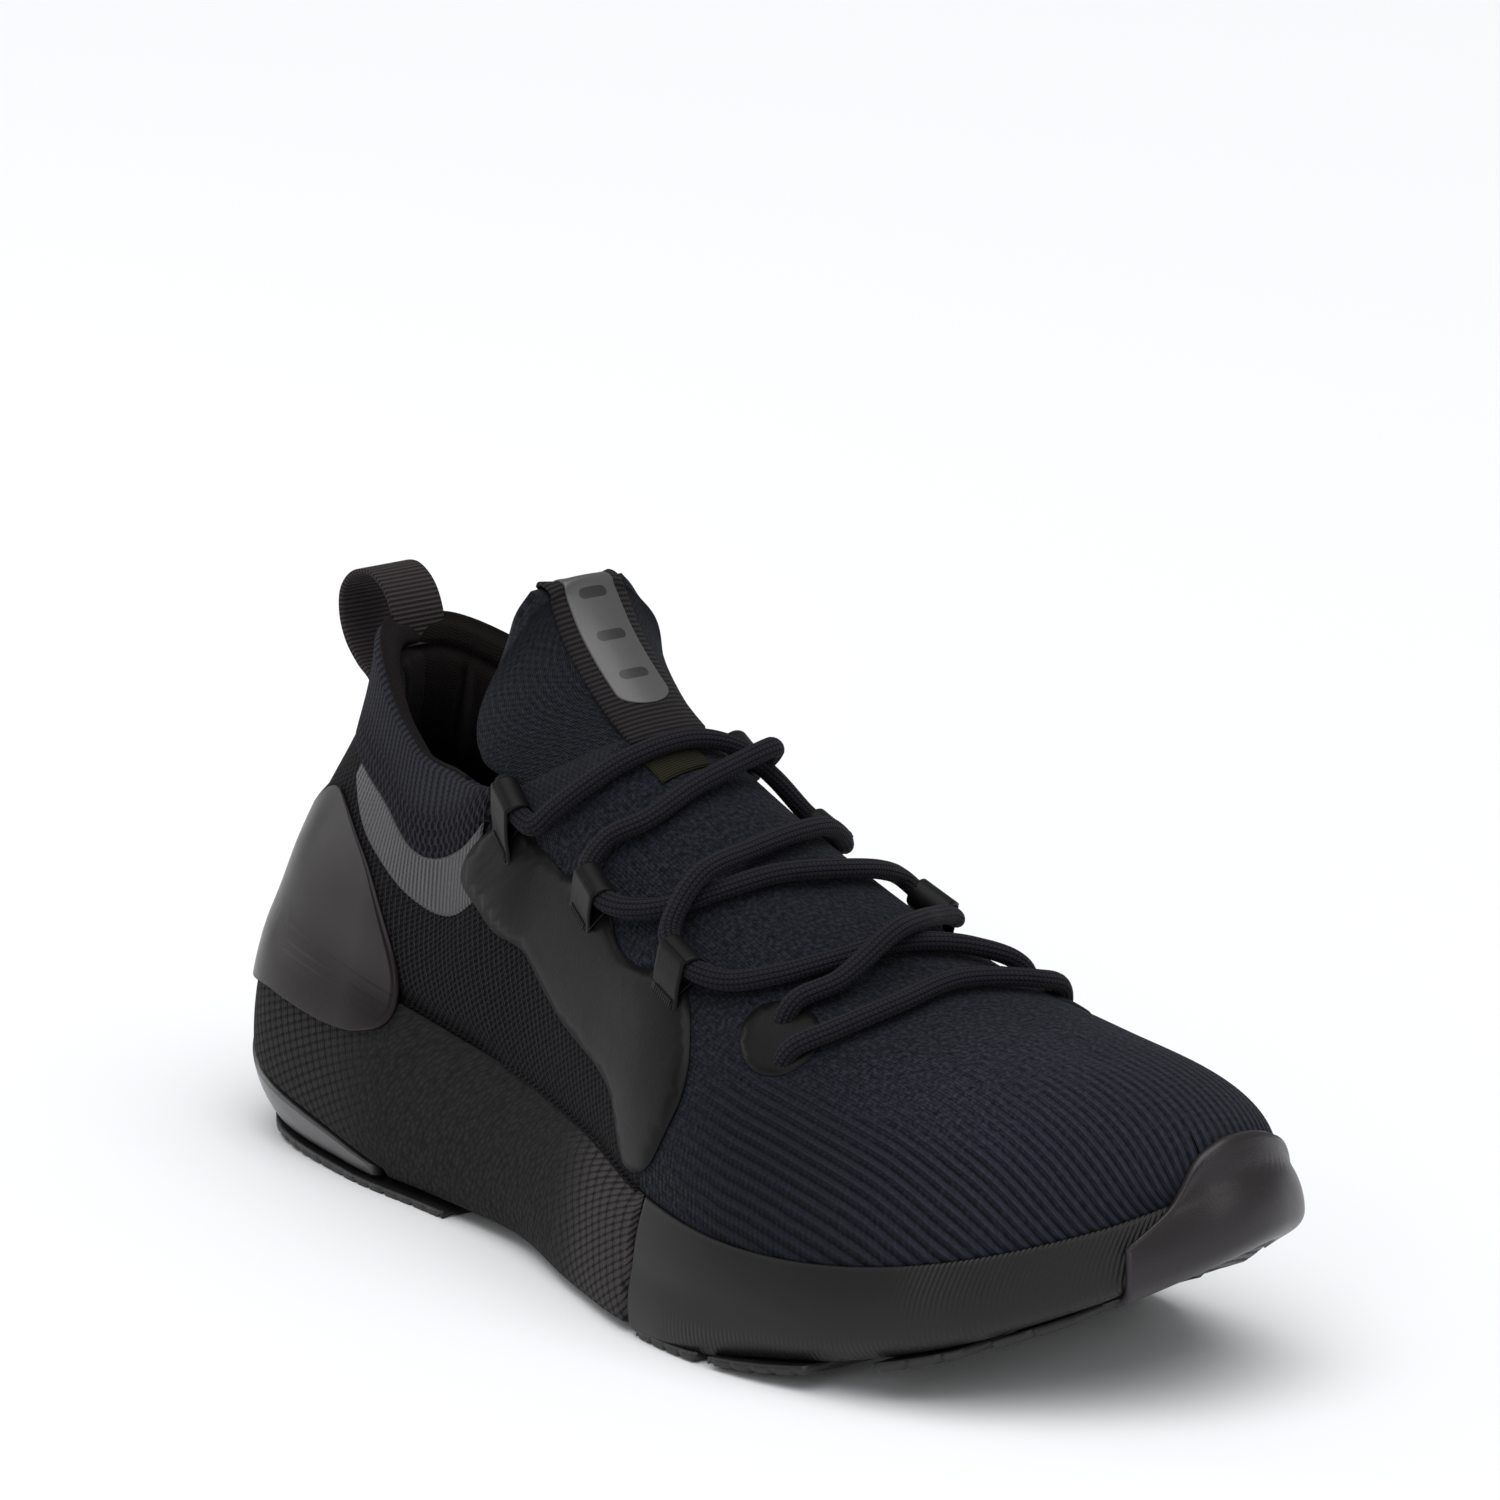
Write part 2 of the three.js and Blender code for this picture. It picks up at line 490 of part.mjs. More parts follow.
// ---------------------------------------------------------------- collar
const collarSide = [0.5, 1, 1.5, 2, 2.5, 3, 3.5, 4, 4.25, 4.45];
const collarStations = [...collarSide.map((a) => -a).reverse(), 0, ...collarSide];
const collarShare = (w, t) => THREE.MathUtils.lerp(knitEdge(w) + 0.01, 1, t);
add('collar_knit', sheet(collarStations, steps(0, 1, 3), (w, t) => skin(w, 1 + collarShare(w, t), 0),
  (w, t) => skin(w, 1 + collarShare(w, t), -KNIT)), knitMaterial);

const PAD_THICKNESS = 5.5;
const LINING = 0.8;
const padShape = (s) => PAD_THICKNESS * Math.sin(Math.PI * THREE.MathUtils.clamp((s - 0.32) / 0.68, 0, 1)) ** 0.8;
const liningDepth = (s) => KNIT + 0.7 + padShape(s);
const insideStations = steps(-3.9, 3.9, 16);
add('collar_foam_pad', sheet(insideStations, steps(0.42, 0.94, 4), (w, s) => skin(w, 1 + s, -KNIT - GAP),
  (w, s) => skin(w, 1 + s, -liningDepth(s) + GAP)), foamMaterial);
add('collar_lining', sheet(insideStations, [0.08, 0.3, 0.42, 0.55, 0.7, 0.82, 0.94, 1],
  (w, s) => skin(w, 1 + s, -liningDepth(s)), (w, s) => skin(w, 1 + s, -liningDepth(s) - LINING)),
liningMaterial);
for (const [side, station] of SIDES) {
  const stations = steps(3.98, 4.44, 2).map(station).sort((a, b) => a - b);
  add(`gusset_${side}`, sheet(stations, [0.6, 0.8, 1], (w, s) => skin(w, 1 + s, -KNIT - 0.5),
    (w, s) => skin(w, 1 + s, -KNIT - 1.5)), knitMaterial);
}

// Shiny film under the collar knit, over the top of the quarter.
const FILM_STATIONS = [2.45, 2.8, 3.2, 3.65, 4.2];
const FILM_LOW = [0.58, 0.48, 0.44, 0.41, 0.43];
for (const [side, station] of SIDES) {
  const stations = FILM_STATIONS.map(station).sort((a, b) => a - b);
  const low = (w) => curve(FILM_STATIONS, FILM_LOW, fromHeel(w));
  const level = (w, t) => 1 + THREE.MathUtils.lerp(low(w), knitEdge(w) - 0.01, t);
  add(`collar_film_${side}`, sheet(stations, steps(0, 1, 2), (w, t) => skin(w, level(w, t), 0.7),
    (w, t) => skin(w, level(w, t), 0.3)), filmMaterial);
}

// ---------------------------------------------------------------- lace
// The lace's route over the instep, [station, across, height above the knit]: one cord from its lateral end,
// tucked in behind the top loop, through the loops and the toe eyelets to its medial end.
const LACE_ROUTE = [
  [4.5, -0.02, 2], [4.6, -0.12, 4.4], [4.74, -0.32, 4.6], [4.9, -0.45, 4.2], [5.08, -0.46, 3.4],
  [5.27, -0.4, 3.2], [5.39, -0.25, 3.2], [5.44, 0, 3.2], [5.43, 0.25, 3.2], [5.47, 0.4, 3.6],
  [5.58, 0.5, 4.6], [5.74, 0.5, 4.6], [5.92, 0.49, 4.4],
  [6.08, 0.4, 3.6], [6.26, 0.25, 3.2], [6.43, 0.08, 3.2], [6.52, -0.12, 4.5], [6.56, -0.3, 8.6],
  [6.63, -0.43, 5.4], [6.76, -0.45, 4.6], [6.92, -0.45, 4.6], [7.08, -0.44, 4.4],
  [7.3, -0.4, 3.4], [7.55, -0.31, 3.2], [7.76, -0.17, 3.2], [7.86, 0, 3.2], [7.93, 0.2, 3.2],
  [8.0, 0.35, 2.6], [8.05, 0.42, -2.5], [8.15, 0.46, -5.5], [8.25, 0.44, -2.5], [8.35, 0.36, 2.6],
  [8.52, 0.22, 3.2], [8.58, 0, 3.2], [8.54, -0.19, 3.2], [8.36, -0.34, 3.2],
  [8.16, -0.44, 2.6], [8.04, -0.49, -2.5], [7.93, -0.48, -5.5], [7.84, -0.41, -2.5], [7.86, -0.33, 2.6],
  [8.0, -0.22, 4], [7.95, -0.06, 8.6], [7.72, 0.08, 6], [7.48, 0.2, 3.4], [7.25, 0.34, 3.4],
  [7.1, 0.44, 4.4], [6.92, 0.46, 4.6], [6.76, 0.45, 4.6], [6.66, 0.4, 4.4],
  [6.78, 0.27, 3.4], [6.88, 0.1, 3.2], [6.78, -0.1, 3.2], [6.62, -0.27, 3.2], [6.4, -0.4, 3.4],
  [6.12, -0.48, 4], [5.9, -0.51, 4.6], [5.74, -0.51, 4.6], [5.58, -0.49, 4.6],
  [5.58, -0.4, 3.8], [5.74, -0.28, 3.2], [5.75, -0.12, 3.2], [5.68, 0.06, 4.4], [5.52, 0.23, 8.6],
  [5.22, 0.37, 4.6], [5.0, 0.44, 3.6], [4.86, 0.42, 4.2], [4.74, 0.32, 4.6], [4.6, 0.12, 4.4], [4.5, 0.02, 2],
];
const LACE_SIDES = 8;
const LACE_STEPS = 84;
const lacePoints = LACE_ROUTE.map(([a, c, height]) => cape(a, c, height));
const laceCurve = new THREE.CatmullRomCurve3(lacePoints, false, 'centripetal');

function laceTube(radius) {
  const section = new THREE.Shape(steps(0, 2 * Math.PI, LACE_SIDES).slice(0, -1)
    .map((angle) => new THREE.Vector2(radius * Math.cos(angle), radius * Math.sin(angle))));
  return new THREE.ExtrudeGeometry(section, { steps: LACE_STEPS, extrudePath: laceCurve, bevelEnabled: false });
}
add('lace', laceTube(LACE_RADIUS), laceMaterial);
const laceHole = laceTube(LACE_HOLE_RADIUS);

add('vamp_knit_rear', cut(vamp(vampRearStations), laceHole), knitMaterial);
add('vamp_knit_flex_zone', cut(vamp(flexStations), laceHole), knitMaterial);
add('vamp_knit_front', vamp(frontStations), knitMaterial);

// A webbing loop that holds the lace: its section wraps round the lace and ends in two legs.
const LOOP_RADIUS = LACE_RADIUS + 0.9;
const LOOP_THICKNESS = 0.8;
const LOOP_HALF_LENGTH = 3.6;
const loopSection = [[-4, -LOOP_RADIUS], ...[-90, -50, 0, 50, 90].map((degrees) => {
  const angle = THREE.MathUtils.degToRad(degrees);
  return [LOOP_RADIUS * Math.cos(angle), LOOP_RADIUS * Math.sin(angle)];
}), [-3.2, LOOP_RADIUS - 0.4], [-5.4, 0.4]];
function laceLoop(name, a, c) {
  const target = cape(a, c, 4.6);
  const shares = steps(0, 1, 600);
  const distance = (t) => laceCurve.getPointAt(t).distanceTo(target);
  const nearest = shares.reduce((best, t) => (distance(t) < distance(best) ? t : best), 0);
  const centre = laceCurve.getPointAt(nearest);
  const along = laceCurve.getTangentAt(nearest);
  if (along.x < 0) along.negate();
  const side = Math.sign(-c);
  const up = cape(a, c, 6).sub(cape(a, c, 2));
  up.addScaledVector(along, -up.dot(along)).normalize();
  const across = up.clone().cross(along).multiplyScalar(side);
  const place = (u, k, grow) => {
    const [x, y] = loopSection[k];
    const before = loopSection[Math.max(k - 1, 0)];
    const after = loopSection[Math.min(k + 1, loopSection.length - 1)];
    const normal = new THREE.Vector2(after[1] - before[1], before[0] - after[0]).normalize();
    return centre.clone().addScaledVector(along, u * LOOP_HALF_LENGTH)
      .addScaledVector(across, x + grow * normal.x).addScaledVector(up, y + grow * normal.y);
  };
  const keys = loopSection.map((_, k) => k);
  const band = sheet([-1, 1], keys, (u, k) => place(u, k, LOOP_THICKNESS), (u, k) => place(u, k, 0));
  add(name, cut(band, laceHole), webbingMaterial);
}
const LOOP_PLACES = [[4.68, 0.24], [5.74, 0.505], [6.86, 0.45]];
for (const [side, , sign] of SIDES) {
  LOOP_PLACES.forEach(([a, c], k) => laceLoop(`lace_loop_${side}_${k + 1}`, a, sign * c));
}

// ---------------------------------------------------------------- eyestays and eyelets
// Upper and lower edge of the lateral eyestay, matching pairs of [station, height] from the rear to the tip.
const EYESTAY_TOP = [[4.46, 0.84], [4.56, 0.82], [4.68, 0.64], [4.78, 0.5], [4.92, 0.42], [5.2, 0.37],
  [5.4, 0.4], [5.66, 0.41], [5.9, 0.4], [6.15, 0.4], [6.42, 0.42], [6.66, 0.46], [6.88, 0.46], [7.06, 0.46],
  [7.16, 0.42], [7.3, 0.36]];
const EYESTAY_BOTTOM = [[4.26, 0.7], [4.36, 0.56], [4.46, 0.44], [4.6, 0.34], [4.8, 0.27], [5.1, 0.21],
  [5.3, 0.18], [5.6, 0.165], [5.9, 0.165], [6.14, 0.165], [6.38, 0.15], [6.54, 0.09], [6.74, 0.05],
  [6.98, 0.05], [7.18, 0.13], [7.32, 0.28]];
for (const [side, station, sign] of SIDES) {
  const place = (k, t, d) => {
    const [[a0, s0], [a1, s1]] = [EYESTAY_BOTTOM[k], EYESTAY_TOP[k]];
    return skin(station(THREE.MathUtils.lerp(a0, a1, t)), 1 + THREE.MathUtils.lerp(s0, s1, t), d);
  };
  const keys = EYESTAY_TOP.map((_, k) => k);
  if (sign > 0) keys.reverse();
  add(`eyestay_${side}`, sheet(keys, steps(0, 1, 3), (k, t) => place(k, t, 1.3),
    (k, t) => place(k, t, 0.5)), filmMaterial);
}

// A smooth oval round the pair of holes that the lace dips through.
const EYELETS = [['lateral', 7.93, -0.425], ['medial', 8.16, 0.4]];
const PATCH_HALF = [0.36, 0.15];
for (const [side, a0, c0] of EYELETS) {
  const disc = (x, y, d) => cape(a0 + PATCH_HALF[0] * x * Math.sqrt(1 - y * y / 2),
    c0 + PATCH_HALF[1] * y * Math.sqrt(1 - x * x / 2), d);
  const patch = sheet(steps(-1, 1, 5), steps(-1, 1, 5), (x, y) => disc(x, y, 1.1), (x, y) => disc(x, y, 0.4));
  add(`eyelet_patch_${side}`, cut(patch, laceHole), filmMaterial);
}

// ---------------------------------------------------------------- heel clip and toe bumper
const CLIP_LEVELS = [0, 0.15, 0.35, 0.6, 0.8, 1];
const CLIP_REACH = [2.8, 3.35, 3.5, 3.2, 2.8, 2.3];   // station of its front edge at each level
const CLIP_PATH = [0.52, 0.75, 1.02, 1.25, 1.4, 1.53];
const CLIP_DIP = 0.24;                                // its top edge dips at the back of the heel
function clipPoint(q, t, d) {
  const w = q * curve(CLIP_LEVELS, CLIP_REACH, t);
  const dip = CLIP_DIP * (1 - THREE.MathUtils.smoothstep(Math.abs(w), 1.3, 2.3));
  return skin(w, CLIP_PATH[0] + (curve(CLIP_LEVELS, CLIP_PATH, t) - CLIP_PATH[0]) * (1 - dip), d);
}
add('heel_counter_clip', sheet(steps(-1, 1, 20), [0, 0.07, 0.15, 0.3, 0.5, 0.7, 0.85, 1],
  (q, t) => clipPoint(q, t, 3), (q, t) => clipPoint(q, t, 1.5)), clipMaterial);

const BUMPER_STATIONS = [11.25, 11.6, 11.85, 12.2, 12.6, 13.1, 13.5, 13.9, 14.3];
const BUMPER_TOP = [0.72, 0.96, 1.17, 1.26, 1.26, 1.2, 1.13, 1, 0.8];
const bumperLevel = (w, t) => THREE.MathUtils.lerp(0.06, curve(BUMPER_STATIONS, BUMPER_TOP, w), t);
add('toe_bumper', sheet(steps(11.25, 14.3, 12), steps(0, 1, 6), (w, t) => skin(w, bumperLevel(w, t), 2.1),
  (w, t) => skin(w, bumperLevel(w, t), 0.8)), rubberMaterial);

// ---------------------------------------------------------------- tongue
// The tongue bends between its base, which is sewn in under the laces, and its free flap.
const TONGUE_START = 0.31;
const TONGUE_BEND = 0.5;
const BEND_GAP = 0.006;                      // clearance at the bend, in tongue rows
const TONGUE_THICKNESS = 4;
const tongueColumns = steps(-1, 1, 12);
const tonguePart = (rows) => sheet(tongueColumns, rows, (u, v) => tongueSkin(u, v, 0),
  (u, v) => tongueSkin(u, v, -TONGUE_THICKNESS));
add('tongue_base', tonguePart([TONGUE_START, 0.42, TONGUE_BEND - BEND_GAP]), knitMaterial);
add('tongue_flap', tonguePart([TONGUE_BEND + BEND_GAP, 0.58, 0.69, 0.8, 0.92, 1]), knitMaterial);

// Webbing tape that folds over the tongue's top: down the front, and a short turn down the back.
const TAPE_HALF_WIDTH = 10;
const TAPE_THICKNESS = 1;
const TAPE_CLEARANCE = 1.3;                  // round the tight turn at the top
const TAPE_TURN = 0.86;                      // how far the tape comes down behind
function tapeAt(y, v, d) {
  const width = curve(TONGUE_ROWS, TONGUE_EDGE.map((p) => p[1]), v);
  return tongueSkin(y / width, v, d);
}
const tapeColumns = steps(-TAPE_HALF_WIDTH, TAPE_HALF_WIDTH, 4);
const tapeRows = [TONGUE_BEND + BEND_GAP, 0.58, 0.69, 0.8, 0.92];
function tapePoint(y, k, outer) {
  const reach = (k < tapeRows.length - 1 ? GAP : TAPE_CLEARANCE) + (outer ? TAPE_THICKNESS : 0);
  if (k < tapeRows.length) return tapeAt(y, tapeRows[k], reach);
  const turn = k - tapeRows.length;
  if (turn > 1) return tapeAt(y, turn === 2 ? 0.92 : TAPE_TURN, -TONGUE_THICKNESS - reach);
  const top = tapeAt(y, 1, turn === 0 ? reach : -TONGUE_THICKNESS - reach);
  top.z += reach;
  return top;
}
add('tongue_tape', sheet(tapeColumns, steps(0, tapeRows.length + 3, tapeRows.length + 3),
  (y, k) => tapePoint(y, k, true), (y, k) => tapePoint(y, k, false)), webbingMaterial);
add('tongue_tape_base', sheet(tapeColumns, [0.34, 0.42, TONGUE_BEND - BEND_GAP],
  (y, v) => tapeAt(y, v, GAP + TAPE_THICKNESS), (y, v) => tapeAt(y, v, GAP)), webbingMaterial);
const STRIP_HALF_WIDTH = 6.5;
const STRIP_THICKNESS = 0.4;
const stripHeight = (v) => (v < 0.9 ? GAP : TAPE_CLEARANCE) + TAPE_THICKNESS + GAP;
add('reflective_strip', sheet(steps(-STRIP_HALF_WIDTH, STRIP_HALF_WIDTH, 3), tapeRows,
  (y, v) => tapeAt(y, v, stripHeight(v) + STRIP_THICKNESS), (y, v) => tapeAt(y, v, stripHeight(v))),
reflectiveMaterial);
add('tongue_label', sheet(steps(5.25, 5.36, 1), steps(-0.13, 0.13, 4), (a, c) => cape(a, c, 0.75),
  (a, c) => cape(a, c, 0.35)), webbingMaterial);

// ---------------------------------------------------------------- heel pull loop
const LOOP_HALF_WIDTH = 7;
const STRAP = 1.3;
// Middle of the free strap in side view, [x, z], from the collar's inside edge over the top to its back.
const FREE_LOOP = [[24.5, 120.8], [21.4, 126], [15.6, 129], [9.2, 127.6], [4.8, 122.8], [4.4, 117],
  [6.6, 111.6], [11.2, 107], [16, 103.8]];
const loopLine = new THREE.CatmullRomCurve3(FREE_LOOP.map(([x, z]) => new THREE.Vector3(x, 0, z)));
function loopPoint(y, t, d) {
  const along = loopLine.getTangentAt(t);
  return loopLine.getPointAt(t).add(new THREE.Vector3(-along.z * d, y, along.x * d));
}
// The strap in three pieces along its line: the arc swings, and the strand at each end bends as it does.
const ARC_START = 0.09;
const ARC_END = 0.66;
const STRAND_GAP = 0.004;
function strapPiece(name, from, to, count) {
  add(name, sheet([-LOOP_HALF_WIDTH, LOOP_HALF_WIDTH], steps(from, to, count),
    (y, t) => loopPoint(y, t, STRAP / 2), (y, t) => loopPoint(y, t, -STRAP / 2)), webbingMaterial);
}
strapPiece('pull_loop_strand_front', 0, ARC_START - STRAND_GAP, 2);
strapPiece('heel_pull_loop', ARC_START + STRAND_GAP, ARC_END - STRAND_GAP, 10);
strapPiece('pull_loop_strand_rear', ARC_END + STRAND_GAP, 1, 5);

// Its two ends are sewn flat to the collar, one on the lining and one on the knit.
const END_REACH = 0.6;                       // half the width of an end, in stations
const insideEnd = (w, s, d) => skin(w, 1 + s, -liningDepth(s) - LINING - GAP - d);
add('pull_loop_end_inside', sheet(steps(-END_REACH, END_REACH, 4), [0.7, 0.82, 0.94],
  (w, s) => insideEnd(w, s, 0), (w, s) => insideEnd(w, s, STRAP)), webbingMaterial);
add('pull_loop_end_outside', sheet(steps(-END_REACH, END_REACH, 4), [0.6, 0.65, 0.7],
  (w, s) => skin(w, 1 + s, GAP + STRAP), (w, s) => skin(w, 1 + s, GAP)), webbingMaterial);

// The origin is on the ground, under the middle of the shoe.
const box = new THREE.Box3().setFromObject(shoe);
const middle = box.getCenter(new THREE.Vector3());
shoe.position.set(-middle.x, -middle.y, -box.min.z);

export default shoe;
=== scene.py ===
"""Looks of a knit running shoe (right foot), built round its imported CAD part.

Shapes are worked out in millimetres from the shoe's heel, as in the part: x to the toe, y to the medial side,
z up. A station w runs from 0 at the heel round the lateral side to 12 at the toe and back to 24; a station a
counts the same way on either side. Level p is 0 to 1 up the sole's wall and 1 to 2 up the upper; s is p - 1.
Over the instep, c is -1 at the lateral rim, 0 at the ridge and 1 at the medial rim. In a sheet, k is 0 on the
inside and 1 on the outside, and t is a share of the piece's own height. d is a distance out from the skin."""
import math

import bmesh
import bpy
import numpy as np
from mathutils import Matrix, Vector
from mathutils.geometry import delaunay_2d_cdt


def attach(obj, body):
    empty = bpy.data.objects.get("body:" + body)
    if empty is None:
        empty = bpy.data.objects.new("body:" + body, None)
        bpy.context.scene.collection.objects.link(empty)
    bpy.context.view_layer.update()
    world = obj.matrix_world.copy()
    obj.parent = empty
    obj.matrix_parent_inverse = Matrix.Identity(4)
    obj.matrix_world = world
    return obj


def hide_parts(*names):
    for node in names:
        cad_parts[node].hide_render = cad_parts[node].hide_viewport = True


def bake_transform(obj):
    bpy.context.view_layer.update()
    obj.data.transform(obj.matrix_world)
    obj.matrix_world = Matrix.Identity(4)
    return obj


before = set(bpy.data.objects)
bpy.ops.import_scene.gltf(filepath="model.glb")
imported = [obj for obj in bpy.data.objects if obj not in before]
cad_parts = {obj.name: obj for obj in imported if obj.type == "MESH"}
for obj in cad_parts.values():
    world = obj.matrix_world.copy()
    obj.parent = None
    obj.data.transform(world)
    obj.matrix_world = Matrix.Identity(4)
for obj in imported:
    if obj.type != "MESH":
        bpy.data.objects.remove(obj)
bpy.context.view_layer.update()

# ---------------------------------------------------------------- driving dimensions, in millimetres
HEEL_ZERO = np.array([-145.866, 2.569, 0.0])       # where the shoe's own zero lies in the frame
# The sole's outline at its widest, station by station, as x and y.
LATERAL_LINE = [(-6, 0), (-3.5, -21), (15, -39), (52, -43.5), (85, -43), (118, -44), (150, -50), (180, -57),
                (210, -58), (240, -52), (268, -38), (288, -15), (298, 10)]
MEDIAL_LINE = [(295, 31), (281, 46), (250, 53), (213, 52), (180, 45), (150, 38), (118, 35), (85, 36),
               (52, 40), (15, 37), (-3.5, 20)]
# The instep's ridge line, as x, y and z.
RIDGE = [(89, 0, 140.5), (96, 0, 131.5), (105, 0, 123), (118, 0, 114), (133, 0, 107), (150, 0, 99.5),
         (170, 0.5, 91), (190, 1.5, 83), (210, 3, 77), (230, 5, 73.5), (248, 7, 71.5), (262, 8, 69.5)]
# The collar's edge, as x, distance from the middle, and z on the lateral and the medial side.
COLLAR_EDGE = [(20, 0, 118.5, 118.5), (25, 10.5, 119.8, 118.2), (37, 20, 116, 113), (56, 27, 105, 105),
               (77, 29.5, 99.5, 99.5), (97, 28.5, 100.5, 100.5), (109, 20, 107.5, 107.5)]
RIDGE_X = (118, 146, 176, 204, 228, 245, 256, 262)    # where the stations from 5 on meet the ridge
# The upper's section at these stations: how steep its foot is, and how far its foot and its edge bulge.
EDGE_STATIONS = [0, 1, 2, 3, 4, 4.5, 4.75, 5, 6, 7, 8, 9, 10, 11, 12]
RISE = [0.45, 0.45, 0.45, 0.45, 0.45, 0.5, 0.56, 0.62, 0.62, 0.6, 0.6, 0.6, 0.6, 0.6, 0.6]
BULGE = [-6, -6, -4, 0, 3, 3, 2.7, 2.5, 2, 2, 2, 1.5, 1.5, 1.5, 1.5]
EDGE_BULGE = [-3, -3, -2, 0.5, 1.5, 1.5, 1.5, 1.5, 1.5, 1.5, 1.5, 1.5, 1.5, 1.5, 1.5]
# The tongue's middle line and its edge, as x, y and z, at shares of its length.
TONGUE_ROWS = [0, 0.25, 0.5, 0.75, 0.92, 1]
TONGUE_CENTRE = [(131, 0, 108), (118, 0, 114.5), (105.5, 0, 123), (96, 0, 131.5), (90.5, 0, 138.3),
                 (89, 0, 140.5)]
TONGUE_EDGE = [(116, 28, 95), (101, 26.5, 100), (87, 28.5, 104.5), (83, 25.5, 117), (87, 19, 130.5),
               (89.5, 12, 138.5)]
TONGUE_LEAN = [0, 0, 0, 1.5, 1.5, 0]               # how far both its edges stand to the medial side
WIDEST_AT = 0.35                                   # level of the sole's widest line
RIM = 2.4                                          # thickness of the sole's skins
SEAM = 7.05                                        # station of the seam between mesh wrap and casing
SEAM_GAP = 0.012                                   # in stations, on each side of the seam
THROAT = 5                                         # station where the vamp begins
STATIONS = 24
KNIT = 1.8                                         # thicknesses of the soft layers
QUARTER = 1.2
FILM, FILM_LIFT = 0.85, 0.5                        # the eyestay's thickness, and its height over the knit
LINING = 0.8
PAD = 5.5
TONGUE_THICKNESS = 4.0
LACE_RADIUS = 2.4
LACE_HEIGHT = 4.6                                  # of the lace's centre in its loops, over the knit
POD_DROP = 2.6                                     # how far the outsole stands below the wall
POD_GAP = 0.25
LUG_PITCH = 5.4
GROOVE = 1.5                                       # depth of the grooves between lugs
TAPE_WIDTH, TAPE_THICKNESS = 20, 0.9
STRIP_WIDTH = 13
STRAP_WIDTH, STRAP_THICKNESS = 14, 1.3
STATION_MM, LEVEL_MM = 19.0, 78.0                  # about the size of one station and one level of the upper
SIDES = (("lateral", -1), ("medial", 1))


def mirrored(lateral, medial=None):
    """A value for each station, from those of the lateral side, heel to toe, and of the medial side."""
    medial = lateral if medial is None else medial
    return np.array(list(lateral) + list(medial[11:0:-1]), float)


# The sole by station: lowest and highest z of its wall, how far they are set in, and the foot bed's z.
WALL_BOTTOM = mirrored([12, 10, 4, 2, 2, 2, 2, 2.2, 3, 7, 14, 23, 31],
                       [12, 10, 4, 2, 2, 2, 2, 2.2, 3, 12, 28, 33, 31])
WALL_TOP = mirrored([60, 56, 51, 47, 43, 39.5, 36, 31, 28, 29, 34, 41, 48],
                    [60, 56, 51, 48, 46, 43, 39, 34, 31, 34, 43, 49, 48])
BOTTOM_INSET = mirrored([9, 8, 6, 4, 3, 3, 3, 3, 3, 4, 6, 7, 7])
TOP_INSET = mirrored([6, 6, 6, 5, 4.5, 4, 4, 3.5, 3, 3, 3, 3, 3])
FOOT_BED = mirrored([33, 33, 32, 30.5, 28.5, 27, 24, 21, 19.5, 20.5, 25, 33, 41],
                    [33, 33, 32, 30.5, 28.5, 27, 24, 21.5, 20.5, 24, 36, 42, 41])


# ---------------------------------------------------------------- curves and surfaces
def spline(keys, values, at):
    """A smooth curve through values at rising keys; values may have columns."""
    keys = np.asarray(keys, float)
    values = np.asarray(values, float)
    flat = values.ndim == 1
    if flat:
        values = values[:, None]
    step = np.diff(keys)
    secant = np.diff(values, axis=0) / step[:, None]
    slope = np.empty_like(values)
    slope[0], slope[-1] = secant[0], secant[-1]
    weighted = secant[:-1] * step[1:, None] + secant[1:] * step[:-1, None]
    slope[1:-1] = weighted / (keys[2:] - keys[:-2])[:, None]
    at = np.asarray(at, float)
    i = np.clip(np.searchsorted(keys, at, side="right") - 1, 0, len(keys) - 2)
    h = (keys[i + 1] - keys[i])[..., None]
    t = ((at - keys[i]) / (keys[i + 1] - keys[i]))[..., None]
    out = (values[i] * (2 * t ** 3 - 3 * t ** 2 + 1) + slope[i] * h * (t ** 3 - 2 * t ** 2 + t)
           + values[i + 1] * (3 * t ** 2 - 2 * t ** 3) + slope[i + 1] * h * (t ** 3 - t ** 2))
    return out[..., 0] if flat else out


def spread(*values):
    """The values as arrays of one shape."""
    return np.broadcast_arrays(*(np.asarray(value, float) for value in values))


def smooth(x, low, high):
    """0 at low to 1 at high, with soft ends."""
    t = np.clip((np.asarray(x, float) - low) / (high - low), 0, 1)
    return t * t * (3 - 2 * t)


def around(values, w):
    """A smooth closed curve through a value for each station."""
    k = np.arange(-3, STATIONS + 4)
    return spline(k, np.asarray(values, float)[k % STATIONS], np.mod(w, STATIONS))


OUTLINE = np.array(LATERAL_LINE + MEDIAL_LINE, float)


def inward(w):
    """Level direction into the shoe, square to its outline."""
    along = around(OUTLINE, np.add(w, 0.01)) - around(OUTLINE, np.subtract(w, 0.01))
    along /= np.linalg.norm(along, axis=-1, keepdims=True)
    return np.stack([-along[..., 1], along[..., 0], np.zeros(along.shape[:-1])], -1)


def wall(w, v):
    """Side wall of the sole."""
    w, v = spread(w, v)
    below = np.clip(WIDEST_AT - v, 0, None) / WIDEST_AT
    above = np.clip(v - WIDEST_AT, 0, None) / (1 - WIDEST_AT)
    inset = around(BOTTOM_INSET, w) * below ** 2.2 + around(TOP_INSET, w) * above ** 2
    low, high = around(WALL_BOTTOM, w), around(WALL_TOP, w)
    flat = around(OUTLINE, w)
    p = np.stack([flat[..., 0], flat[..., 1], low + (high - low) * v], -1)
    return p + inward(w) * inset[..., None]


